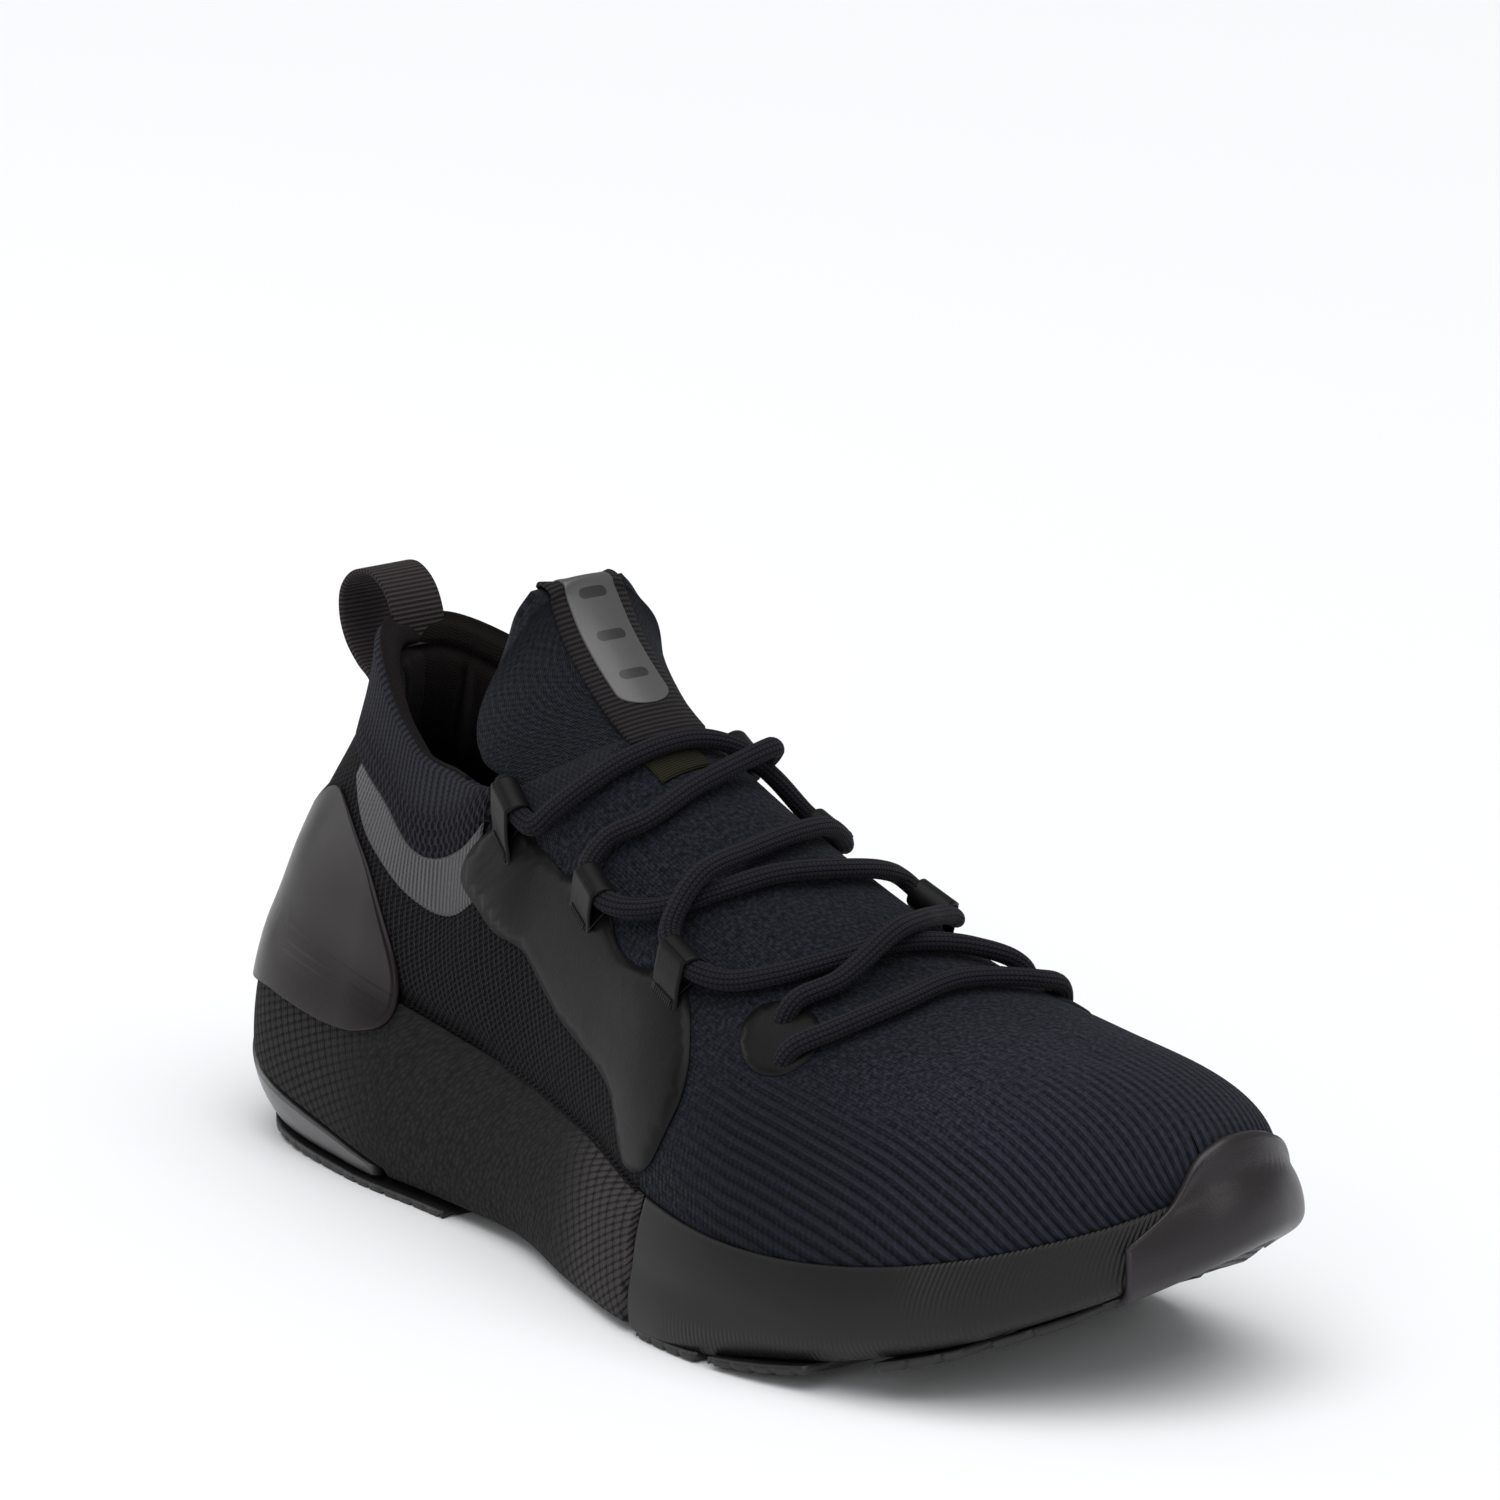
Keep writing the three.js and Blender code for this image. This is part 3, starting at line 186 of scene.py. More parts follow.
def ridge_at(x):
    """The instep's ridge line at x."""
    table = np.array(RIDGE, float)
    across, height = np.moveaxis(spline(table[:, 0], table[:, 1:], np.asarray(x, float)), -1, 0)
    return x, across, height


EDGE = [np.array([(x, side * y, zl if side < 0 else zm) for x, y, zl, zm in COLLAR_EDGE]
                 + [ridge_at(x) for x in RIDGE_X], float) for side in (-1, 1)]


def upper(w, s):
    """The upper: s is 0 at the sole's rim and 1 at the collar's edge or the ridge."""
    w, s = spread(np.mod(w, STATIONS), s)
    medial = (w > 12)
    a = np.where(medial, STATIONS - w, w)
    inner = inward(w)
    foot = wall(w, np.ones_like(w)) + inner
    edge = np.where(medial[..., None], spline(EDGE_STATIONS, EDGE[1], a), spline(EDGE_STATIONS, EDGE[0], a))
    ridge = np.stack(ridge_at(edge[..., 0]), -1)
    edge = np.where((a > THROAT)[..., None], ridge, edge)
    height = edge[..., 2] - foot[..., 2]
    low = foot - inner * spline(EDGE_STATIONS, BULGE, a)[..., None]
    low[..., 2] += spline(EDGE_STATIONS, RISE, a) * height
    collar = edge - inner * spline(EDGE_STATIONS, EDGE_BULGE, a)[..., None]
    collar[..., 2] -= 0.35 * height
    arch = edge.copy()
    arch[..., :2] += 0.62 * (foot - edge)[..., :2]
    share = smooth(a, 4, 5)[..., None]
    high = collar * (1 - share) + arch * share
    t = s[..., None]
    r = 1 - t
    return foot * r ** 3 + 3 * low * t * r * r + 3 * high * t * t * r + edge * t ** 3


def unit(v):
    return v / np.maximum(np.linalg.norm(v, axis=-1, keepdims=True), 1e-9)


def outward(surface, u, v, du=0.02, dv=0.01):
    """Normal of a surface."""
    return unit(np.cross(surface(u + du, v) - surface(u - du, v), surface(u, v + dv) - surface(u, v - dv)))


def skin(w, p, d):
    """Whole skin of the shoe, pushed out by d."""
    w, p, d = spread(w, p, d)
    share = smooth(p, 0.96, 1.04)[..., None]
    normal = unit(outward(wall, w, np.clip(p, 0.02, 0.97)) * (1 - share)
                  + outward(upper, w, np.clip(p - 1, 0.03, 0.98)) * share)
    on = np.where((p <= 1)[..., None], wall(w, np.clip(p, 0, 1)), upper(w, np.clip(p - 1, 0, 1)))
    return on + normal * d[..., None]


def eased_skin(w, p, d):
    """The same, with the corner between the wall and the upper rounded off by averaging along p."""
    shifts = np.linspace(-0.16, 0.16, 25)
    weights = 1 + np.cos(shifts / 0.17 * np.pi)
    span = smooth(p, 0.3, 0.6)
    total = sum(skin(w, p + shift * span, d) * weight for shift, weight in zip(shifts, weights))
    return total / weights.sum()


def cape(a, c, d):
    """The upper over the instep: station a, c from -1 lateral over 0 at the ridge to 1 medial, height d."""
    a, c, d = spread(a, c, d)
    w = np.where(c <= 0, a, STATIONS - a)
    s = 1 - np.abs(c)
    safe = np.minimum(s, 0.97)
    share = (0.5 * smooth(s, 0.9, 1))[..., None]
    normal = unit(outward(upper, w, safe) * (1 - share) + outward(upper, STATIONS - w, safe) * share)
    return upper(w, s) + normal * d[..., None]


def tongue_surface(u, v):
    """Front of the tongue: u from -1 to 1 across it, v from 0 at its root to 1 at its top."""
    u, v = spread(u, v)
    centre = spline(TONGUE_ROWS, np.array(TONGUE_CENTRE, float), v)
    edge = spline(TONGUE_ROWS, np.array(TONGUE_EDGE, float), v)
    a = np.abs(u)
    lean = spline(TONGUE_ROWS, np.array(TONGUE_LEAN, float), v)
    x = centre[..., 0] + (edge[..., 0] - centre[..., 0]) * a ** 2
    z = centre[..., 2] + (edge[..., 2] - centre[..., 2]) * a ** 2.3
    return np.stack([x, edge[..., 1] * u + lean * a ** 2, z], -1)


def tongue_skin(u, v, d):
    u, v, d = spread(u, v, d)
    normal = outward(tongue_surface, u, np.clip(v, 0.03, 0.97), 0.03, 0.02)
    return tongue_surface(u, v) + normal * d[..., None]


def from_heel(w):
    """Stations away from the heel's back, on either side."""
    w = np.mod(np.asarray(w, float), STATIONS)
    return np.minimum(w, STATIONS - w)


def knit_edge(w):
    """Lower edge of the collar knit, as a level of the upper."""
    return spline([0, 2, 2.8, 4.1, 4.3, 4.55, 5], [0.6, 0.62, 0.65, 0.65, 0.72, 0.9, 0.95], from_heel(w))


# ---------------------------------------------------------------- materials
class Finish:
    """A procedural material: a shader and short ways to add nodes to it. Patterns use the UV map, in mm."""

    def __init__(self, name, color, roughness, **sockets):
        self.material = bpy.data.materials.new(name)
        self.material.use_nodes = True
        self.tree = self.material.node_tree
        self.shader = self.tree.nodes["Principled BSDF"].inputs
        self.shader["Base Color"].default_value = (*color, 1)
        self.shader["Roughness"].default_value = roughness
        for socket, value in sockets.items():
            self.shader[socket.replace("_", " ")].default_value = value

    def link(self, value, socket):
        if isinstance(value, (int, float, tuple)):
            socket.default_value = value
        else:
            self.tree.links.new(value, socket)

    def node(self, kind, inputs, **settings):
        """The outputs of a new node."""
        node = self.tree.nodes.new("ShaderNode" + kind)
        for key, value in settings.items():
            setattr(node, key, value)
        for key, value in inputs.items():
            self.link(value, node.inputs[key])
        return node.outputs

    def math(self, operation, a, b=0.0, c=0.0, clamp=False):
        return self.node("Math", {0: a, 1: b, 2: c}, operation=operation, use_clamp=clamp)[0]

    def times(self, a, b, clamp=False):
        return self.math("MULTIPLY", a, b, clamp=clamp)

    def scaled(self, a, factor, extra, clamp=False):
        """a times factor, plus extra."""
        return self.math("MULTIPLY_ADD", a, factor, extra, clamp)

    def plus(self, a, b):
        return self.math("ADD", a, b)

    def minus(self, a, b):
        return self.math("SUBTRACT", a, b)

    def invert(self, a):
        return self.minus(1.0, a)

    def uv(self):
        plan = self.node("UVMap", {}, uv_map="UVMap")[0]
        parts = self.node("SeparateXYZ", {0: plan})
        return parts[0], parts[1]

    def vector(self, x, y):
        return self.node("CombineXYZ", {0: x, 1: y})[0]

    def noise(self, x, y, pitch, detail=2.0):
        inputs = {"Scale": 1 / pitch, "Detail": detail, "Vector": self.vector(x, y)}
        return self.node("TexNoise", inputs)["Fac"]

    def cells(self, x, y, pitch, randomness=1.0):
        inputs = {"Scale": 1 / pitch, "Randomness": randomness, "Vector": self.vector(x, y)}
        return self.node("TexVoronoi", inputs)["Distance"]

    def wave(self, x, pitch, phase=0.0):
        """0 to 1, smooth, once every pitch."""
        return self.scaled(self.math("SINE", self.scaled(x, 2 * math.pi / pitch, phase)), 0.5, 0.5)

    def step(self, x, low, high):
        """0 below low to 1 above high; the other way round if low is the larger."""
        if low > high:
            return self.invert(self.step(x, high, low))
        inputs = {"Value": x, "From Min": low, "From Max": high}
        return self.node("MapRange", inputs, interpolation_type="SMOOTHSTEP")["Result"]

    def attribute(self, name):
        return self.node("Attribute", {}, attribute_name=name)["Fac"]

    def tint(self, share, low, high):
        """Base colour from low to high."""
        inputs = {"Factor": share, "A": (*low, 1), "B": (*high, 1)}
        self.link(self.node("Mix", inputs, data_type="RGBA")["Result"], self.shader["Base Color"])

    def rough(self, share, low, high):
        self.link(self.scaled(share, high - low, low), self.shader["Roughness"])

    def bump(self, height, depth):
        """Relief of that depth in mm."""
        self.link(self.node("Bump", {"Strength": 1.0, "Distance": depth / 1000, "Height": height})[0],
                  self.shader["Normal"])

    def knit(self, along, across, wale, course, slant=1.6):
        """Height of a knitted face: two slanting legs of each stitch in every wale."""
        share = self.math("FRACT", self.math("DIVIDE", across, wale))
        fold = self.math("ABSOLUTE", self.scaled(share, 2.0, -1.0))
        legs = self.math("ABSOLUTE", self.math("SINE", self.times(share, 2 * math.pi)))
        run = self.scaled(fold, slant, self.times(along, 2 * math.pi / course))
        loops = self.scaled(self.math("SINE", run), 0.5, 0.5)
        return self.times(legs, self.scaled(loops, 0.6, 0.4))

    def lattice(self, x, y, pitch_x, pitch_y):
        """Distance, in cells, to the nearest point of a lattice with alternate rows shifted half a cell."""
        best = None
        for shift in (0.0, 0.5):
            dx = self.minus(self.math("FRACT", self.scaled(x, 1 / pitch_x, shift)), 0.5)
            dy = self.minus(self.math("FRACT", self.scaled(y, 1 / pitch_y, shift)), 0.5)
            square = self.plus(self.times(dx, dx), self.times(dy, dy))
            best = square if best is None else self.math("MINIMUM", best, square)
        return self.math("SQRT", best)


FABRIC = dict(Specular_IOR_Level=0.08, Sheen_Weight=0.03, Sheen_Roughness=0.4)


def vamp_finish():
    f = Finish("vamp_knit", (0.0081, 0.009, 0.0127), 0.95, **FABRIC)
    along, across = f.uv()
    lower = f.attribute("ribs")
    stitch = f.knit(along, across, 1.5, 1.5)
    pebble = f.cells(along, across, 1.25)
    rib = f.wave(across, 2.25)
    plain = f.invert(lower)
    face = f.plus(f.times(rib, lower), f.times(f.invert(pebble), plain))
    height = f.scaled(stitch, 0.45, face)
    melange = f.noise(along, across, 1.1, 1.0)
    flecks = f.times(f.step(melange, 0.42, 0.68), f.scaled(plain, 0.75, 0.25))
    shade = f.scaled(height, 0.42, f.times(flecks, 0.5), clamp=True)
    shade = f.times(shade, f.scaled(f.attribute("light"), 0.5, 0.5))
    f.tint(shade, (0.0027, 0.0028, 0.0043), (0.03864, 0.04312, 0.06182))
    f.bump(height, 0.55)
    return f.material


def collar_finish():
    f = Finish("collar_knit", (0.01466, 0.01482, 0.02016), 0.95, **FABRIC)
    along, up = f.uv()
    rib = f.wave(along, 2.3)
    stitch = f.knit(up, along, 1.15, 1.1)
    holes = f.step(f.lattice(along, up, 2.3, 3.4), 0.2, 0.32)
    low = f.step(up, 15.0, 8.0)
    open_work = f.math("MAXIMUM", holes, f.invert(low))
    height = f.times(f.scaled(stitch, 0.5, rib), open_work)
    f.tint(f.times(height, 0.75), (0.0028, 0.0026, 0.0042), (0.03089, 0.03182, 0.04268))
    f.bump(height, 0.6)
    return f.material


def tongue_finish():
    f = Finish("tongue_knit", (0.01366, 0.01485, 0.0196), 0.95, **FABRIC)
    across, up = f.uv()
    slope = f.scaled(across, 0.5, up)
    twill = f.wave(f.scaled(up, 0.45, across), 1.9)
    stitch = f.knit(slope, across, 1.25, 1.2)
    melange = f.noise(across, up, 0.9, 1.0)
    height = f.scaled(twill, 0.55, stitch)
    shade = f.scaled(height, 0.45, f.times(f.step(melange, 0.45, 0.7), 0.4), clamp=True)
    f.tint(shade, (0.0043, 0.0047, 0.0065), (0.02619, 0.02851, 0.0379))
    f.bump(height, 0.4)
    return f.material


def lining_finish():
    f = Finish("collar_lining", (0.006, 0.0042, 0.004), 0.9, **FABRIC)
    along, up = f.uv()
    weave = f.knit(up, along, 0.9, 0.8)
    soft = f.noise(along, up, 9.0, 2.0)
    f.tint(f.scaled(weave, 0.5, f.times(soft, 0.5)), (0.0033, 0.0023, 0.0023),
           (0.0108, 0.0075, 0.0073))
    f.bump(f.scaled(soft, 1.2, weave), 0.25)
    return f.material


def quarter_finish():
    f = Finish("quarter_mesh", (0.0026, 0.0022, 0.0036), 0.85, **FABRIC)
    along, up = f.uv()
    hole = f.lattice(along, up, 2.05, 2.5)
    thread = f.step(hole, 0.2, 0.33)
    twist = f.wave(f.plus(along, up), 0.8)
    height = f.times(thread, f.scaled(twist, 0.25, 1.0))
    f.tint(f.times(height, f.scaled(f.noise(along, up, 6.0), 0.6, 0.6), clamp=True),
           (0.00055, 0.0005, 0.00096), (0.0092, 0.0076, 0.01056))
    f.bump(height, 0.7)
    return f.material


def wrap_finish():
    """Mesh bonded over the foam: raised cells at the heel and next to the seam, a fine pebble between."""
    f = Finish("sole_mesh", (0.0126, 0.01148, 0.0112), 0.8, Specular_IOR_Level=0.15)
    along, up = f.uv()
    big = f.attribute("cells")
    cell = f.invert(f.step(f.lattice(along, up, 3.5, 3.3), 0.2, 0.46))
    pebble = f.invert(f.cells(along, up, 1.5, 0.7))
    fine = f.wave(f.plus(along, up), 1.0)
    plain = f.invert(big)
    height = f.plus(f.times(f.scaled(fine, 0.18, cell), big),
                    f.times(f.times(pebble, 0.7), plain))
    gain = f.scaled(f.attribute("seam"), 0.7, 0.5)
    f.tint(f.times(height, gain, clamp=True), (0.0025, 0.0025, 0.0024), (0.0438, 0.04, 0.0396))
    f.bump(height, 0.8)
    return f.material


def casing_finish():
    f = Finish("forefoot_casing", (0.008, 0.008, 0.008), 0.42, Specular_IOR_Level=0.28)
    along, up = f.uv()
    ribbed = f.attribute("ribs")
    rib = f.times(f.wave(along, 1.25), ribbed)
    grain = f.noise(along, up, 0.35, 2.0)
    cloud = f.noise(along, up, 14.0, 2.0)
    f.tint(cloud, (0.0067, 0.0067, 0.0067), (0.0097, 0.0097, 0.0097))
    f.rough(cloud, 0.36, 0.5)
    f.bump(f.scaled(grain, 0.12, rib), 0.16)
    return f.material


def moulded_finish(name, color, roughness, cloud, rough, grain, tints=None, **sockets):
    """A moulded surface: patches of duller gloss, and a fine grain given as pitch, detail and depth."""
    f = Finish(name, color, roughness, **sockets)
    along, up = f.uv()
    patches = f.noise(along, up, cloud, 3.0)
    if tints:
        f.tint(patches, *tints)
    f.rough(patches, *rough)
    pitch, detail, depth = grain
    f.bump(f.noise(along, up, pitch, detail), depth)
    return f.material


def film_finish():
    f = Finish("bonded_film", (0.0043, 0.0043, 0.0045), 0.42, Specular_IOR_Level=0.13)
    along, up = f.uv()
    cloud = f.noise(along, up, 11.0, 3.0)
    f.tint(cloud, (0.0037, 0.0037, 0.0039), (0.0053, 0.0053, 0.0055))
    f.rough(cloud, 0.36, 0.5)
    f.bump(f.scaled(f.noise(along, up, 0.5, 2.0), 0.35, f.noise(along, up, 5.0)), 0.12)
    return f.material


def band_finish():
    """Shiny film heat-bonded over the knit, so its ribs and stitches show through."""
    f = Finish("collar_film", (0.0252, 0.02419, 0.02621), 0.34, Specular_IOR_Level=0.45, Coat_Weight=0.12,
               Coat_Roughness=0.25)
    along, up = f.uv()
    rib = f.wave(along, 1.5)
    ticks = f.wave(f.scaled(rib, 0.5, up), 1.2)
    height = f.scaled(ticks, 0.35, rib)
    f.tint(f.times(height, 0.8), (0.01411, 0.0131, 0.01512), (0.0378, 0.03578, 0.03931))
    f.bump(height, 0.28)
    return f.material


def lace_finish():
    """Round braid: chevrons in lengthwise plaits."""
    f = Finish("lace_braid", (0.0083, 0.0077, 0.01056), 0.85, **FABRIC)
    along, round_ = f.uv()
    plait = f.math("FRACT", f.math("DIVIDE", round_, 1.26))
    fold = f.math("ABSOLUTE", f.scaled(plait, 2.0, -1.0))
    strand = f.wave(f.scaled(fold, 0.55, along), 1.05)
    plaits = f.invert(f.math("POWER", fold, 3.0))
    height = f.times(plaits, f.scaled(strand, 0.55, 0.45))
    f.tint(height, (0.0017, 0.0016, 0.0025), (0.01897, 0.01747, 0.02371))
    f.bump(height, 0.42)
    return f.material


def webbing_finish(name, low, high, pitch):
    f = Finish(name, high, 0.85, **FABRIC)
    along, across = f.uv()
    rib = f.wave(along, pitch)
    yarn = f.wave(f.scaled(rib, 0.2, across), 0.62)
    height = f.scaled(yarn, 0.3, rib)
    f.tint(f.times(height, 0.8), low, high)
    f.bump(height, 0.3)
    return f.material


def strip_finish():
    """Reflective strip with three plain capsule marks."""
    f = Finish("reflective_strip", (0.066, 0.066, 0.0672), 0.38, Specular_IOR_Level=0.5, Metallic=0.1)
    across, up = f.uv()
    place = f.minus(f.math("FRACT", f.scaled(up, 1 / 11.0, 0.68)), 0.5)
    dy = f.times(place, 11.0)
    dx = f.math("MAXIMUM", f.minus(f.math("ABSOLUTE", across), 2.2), 0.0)
    far = f.math("SQRT", f.plus(f.times(dx, dx), f.times(dy, dy)))
    mark = f.step(far, 1.45, 1.25)
    f.tint(mark, (0.069, 0.069, 0.0702), (0.018, 0.018, 0.0186))
    f.bump(f.noise(across, up, 0.5, 2.0), 0.03)
    return f.material


def stitch_finish():
    f = Finish("bar_tack_thread", (0.012, 0.012, 0.012), 0.8, **FABRIC)
    along, up = f.uv()
    thread = f.wave(f.scaled(up, 0.25, along), 0.75)
    f.tint(thread, (0.003, 0.003, 0.003), (0.028, 0.027, 0.026))
    f.bump(thread, 0.4)
    return f.material


def board_finish():
    f = Finish("lasting_board", (0.05, 0.05, 0.05), 0.9, **FABRIC)
    along, across = f.uv()
    felt = f.noise(along, across, 1.2, 4.0)
    f.tint(felt, (0.03, 0.03, 0.03), (0.08, 0.08, 0.08))
    f.bump(felt, 0.2)
    return f.material


FINISH = {
    "vamp": vamp_finish(), "collar": collar_finish(), "tongue": tongue_finish(), "lining": lining_finish(),
    "quarter": quarter_finish(), "wrap": wrap_finish(), "casing": casing_finish(),
    "foam": moulded_finish("heel_foam", (0.028, 0.028, 0.0288), 0.3, 8.0, (0.24, 0.4), (0.8, 3.0, 0.08),
                           Specular_IOR_Level=0.6, Coat_Weight=0.25, Coat_Roughness=0.2),
    "rubber": moulded_finish("outsole_rubber", (0.0084, 0.0084, 0.009), 0.45, 9.0, (0.36, 0.58),
                             (0.5, 2.0, 0.06), ((0.0072, 0.0072, 0.0078), (0.0114, 0.0108, 0.012)),
                             Specular_IOR_Level=0.45),
    "bumper": moulded_finish("toe_bumper_rubber", (0.0157, 0.01222, 0.01449), 0.3, 10.0, (0.26, 0.42),
                             (0.45, 2.0, 0.05), Specular_IOR_Level=0.38),
    "clip": moulded_finish("clip_plastic", (0.0077, 0.0045, 0.0057), 0.3, 7.0, (0.24, 0.36), (0.4, 2.0, 0.03),
                           Specular_IOR_Level=0.19),
    "film": film_finish(),
    "band": band_finish(), "lace": lace_finish(), "strip": strip_finish(), "thread": stitch_finish(),
    "board": board_finish(),
    "strap": webbing_finish("pull_loop_webbing", (0.0092, 0.0081, 0.0081), (0.05178, 0.04372, 0.04488), 1.1),
    "tape": webbing_finish("tongue_webbing", (0.0047, 0.004, 0.0047), (0.02964, 0.02652, 0.02808), 1.3),
    "label": webbing_finish("woven_label", (0.004, 0.004, 0.002), (0.026, 0.025, 0.012), 0.7),
}


# ---------------------------------------------------------------- mesh building
def build(name, points, faces, uv, finish, attributes=None):
    """A mesh object from points in mm, with a UV map in mm and optional values for its points."""
    mesh = bpy.data.meshes.new(name)
    mesh.from_pydata(((points + HEEL_ZERO) / 1000).tolist(), [], faces)
    layer = mesh.uv_layers.new(name="UVMap")
    corner = np.empty(len(mesh.loops), np.int64)
    mesh.loops.foreach_get("vertex_index", corner)
    layer.data.foreach_set("uv", np.asarray(uv, np.float32)[corner].ravel())
    for key, values in (attributes or {}).items():
        mesh.attributes.new(key, "FLOAT", "POINT").data.foreach_set("value", np.asarray(values, np.float32))
    mesh.polygons.foreach_set("use_smooth", np.ones(len(mesh.polygons), bool))
    mesh.materials.append(FINISH[finish])
    obj = bpy.data.objects.new(name, mesh)
    bpy.context.scene.collection.objects.link(obj)
    return obj


def arc_uv(points, fan=None):
    """Distances along the two directions of a grid; with fan, the first is taken from that column only."""
    along = np.zeros(points.shape[:2])
    along[1:] = np.cumsum(np.linalg.norm(np.diff(points, axis=0), axis=-1), 0)
    if fan is not None:
        along = np.repeat(along[:, fan:fan + 1], points.shape[1], 1)
    across = np.zeros(points.shape[:2])
    across[:, 1:] = np.cumsum(np.linalg.norm(np.diff(points, axis=1), axis=-1), 1)
    return np.stack([along, across], -1)


def grid_faces(nu, nv, offset=0, flip=False):
    i, j = np.meshgrid(np.arange(nu - 1), np.arange(nv - 1), indexing="ij")
    a = offset + i * nv + j
    quads = np.stack([a, a + nv, a + nv + 1, a + 1], -1).reshape(-1, 4)
    return quads[:, ::-1] if flip else quads


def shell(name, us, vs, place, finish, edge=0.4, uv=None, fan=None, attributes=None, turned=False):
    """A sheet with thickness: place(u, v, k) is its outside at k = 1 and its inside at k = 0. Along the rim
    its outside is drawn in to k = edge, which rounds it. us and vs are values, or tuples for rimmed."""
    u, v = np.meshgrid(*(rimmed(*at) if isinstance(at, tuple) else at for at in (us, vs)), indexing="ij")
    k = np.ones_like(u)
    k[[0, -1], :] = edge
    k[:, [0, -1]] = edge
    outer, inner = place(u, v, k), place(u, v, np.zeros_like(k))
    nu, nv = u.shape
    count = nu * nv
    faces = [grid_faces(nu, nv, 0, turned), grid_faces(nu, nv, count, not turned)]
    ring = np.concatenate([np.arange(nu) * nv, (nu - 1) * nv + np.arange(1, nv),
                           np.arange(nu - 2, -1, -1) * nv + nv - 1, np.arange(nv - 2, 0, -1)])
    after = np.roll(ring, -1)
    rim = np.stack([ring, ring + count, after + count, after], -1)
    faces.append(rim[:, ::-1] if turned else rim)
    plan = arc_uv(outer, fan) if uv is None else uv(u, v, outer)
    extra = {key: np.tile(f(u, v, outer).ravel(), 2) for key, f in (attributes or {}).items()}
    points = np.concatenate([outer.reshape(-1, 3), inner.reshape(-1, 3)])
    plan = np.tile(plan.reshape(-1, 2), (2, 1))
    return build(name, points, np.concatenate(faces).tolist(), plan, finish, extra)


def rimmed(low, high, count, rim):
    """count steps from low to high, with one more close to each end."""
    return np.concatenate([[low], np.linspace(low + rim, high - rim, count), [high]])


def smooth_loop(points, per):
    """A closed smooth curve through points."""
    points = np.asarray(points, float)
    n = len(points)
    keys = np.arange(-3, n + 4)
    return spline(keys, points[keys % n], np.arange(n * per) / per)


def inside(points, outline):
    """Which points lie inside a closed outline."""
    x, y = points[:, 0][:, None], points[:, 1][:, None]
    x0, y0 = outline[:, 0][None], outline[:, 1][None]
    x1, y1 = np.roll(outline, -1, 0)[:, 0][None], np.roll(outline, -1, 0)[:, 1][None]
    crosses = (y0 > y) != (y1 > y)
    at = x0 + (y - y0) * (x1 - x0) / np.where(y1 == y0, 1e-9, y1 - y0)
    return (np.sum(crosses & (x < at), 1) % 2) == 1


def patch(name, outline, spacing, place, finish, rounding=0.8, edge=0.35):
    """A thin piece cut to an outline of stations and levels, filled with points that far apart. place is as
    for a shell."""
    scale = np.array([STATION_MM, LEVEL_MM])
    border = np.asarray(outline, float) * scale
    low, high = border.min(0), border.max(0)
    gx, gy = np.meshgrid(*(np.arange(low[k], high[k], spacing) for k in range(2)), indexing="ij")
    gy = gy + (np.arange(gx.shape[0]) % 2)[:, None] * spacing / 2
    fill = np.stack([gx.ravel(), gy.ravel()], -1)

    def clearance(points):
        return np.min(np.linalg.norm(points[:, None] - border[None], axis=-1), 1)

    fill = fill[inside(fill, border)]
    fill = fill[clearance(fill) > 0.6 * spacing]
    n = len(border)
    edges = [(i, (i + 1) % n) for i in range(n)]
    flat = np.concatenate([border, fill])
    verts, _, tris, *_ = delaunay_2d_cdt([Vector(p) for p in flat], edges, [], 1, 1e-5)
    flat = np.array([tuple(v) for v in verts])
    tris = np.array([t for t in tris if len(t) == 3])
    tris = tris[inside(flat[tris].mean(1), border)]
    near = np.clip(clearance(flat) / rounding, 0, 1)
    k = edge + (1 - edge) * np.sqrt(1 - (1 - near) ** 2)
    a, b = (flat / scale).T
    outer, inner = place(a, b, k), place(a, b, np.zeros_like(k))
    n = len(flat)
    sides = np.concatenate([tris[:, [0, 1]], tris[:, [1, 2]], tris[:, [2, 0]]])
    key = np.sort(sides, 1)
    _, first, repeats = np.unique(key, axis=0, return_index=True, return_counts=True)
    rim = sides[first[repeats == 1]]
    faces = tris.tolist() + (tris[:, ::-1] + n).tolist()
    faces += [[q, p, p + n, q + n] for p, q in rim.tolist()]
    uv = np.tile(flat, (2, 1))
    return build(name, np.concatenate([outer, inner]), faces, uv, finish)


def face_out(obj):
    """Turns every face to point out of the closed mesh."""
    edit = bmesh.new()
    edit.from_mesh(obj.data)
    bmesh.ops.remove_doubles(edit, verts=edit.verts, dist=1e-6)
    bmesh.ops.recalc_face_normals(edit, faces=edit.faces)
    edit.to_mesh(obj.data)
    edit.free()
    return obj


def row(point):
    """A point of the shoe, in mm, in the frame's metres."""
    return tuple((np.asarray(point, float) + HEEL_ZERO) / 1000)


# Points where the bending to each moving body would start and end; no piece is bent by them here.
BLENDS = {"forefoot": (row((200, 0, 25)), row((254, 0, 25))),
          "tongue": (row((111, 0, 112)), row((97, 0, 126))),
          "heel_loop": (row((24.5, 0, 120.8)), row((13.8, 0, 126.2)))}


def finish_piece(obj, body="rearfoot", nodes=None):
    """Puts a piece on a body; if body is "to_" and a body's name, it only bakes the piece's transform and
    leaves it on no body. nodes are those it stands for, by default the one with its name."""
    if nodes is None:
        nodes = (obj.name.split(".")[0],)
    face_out(obj)
    if body.startswith("to_"):
        far = body[3:]
        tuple(BLENDS[far][0])
        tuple(BLENDS[far][1])
        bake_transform(obj)
    else:
        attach(obj, body)
    if nodes:
        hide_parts(*nodes)


def part(name, us, vs, place, finish, slot, body="rearfoot", nodes=None, **shape):
    """A finished piece made of one shell."""
    finish_piece(shell(name, us, vs, place, finish, **shape), body, nodes)


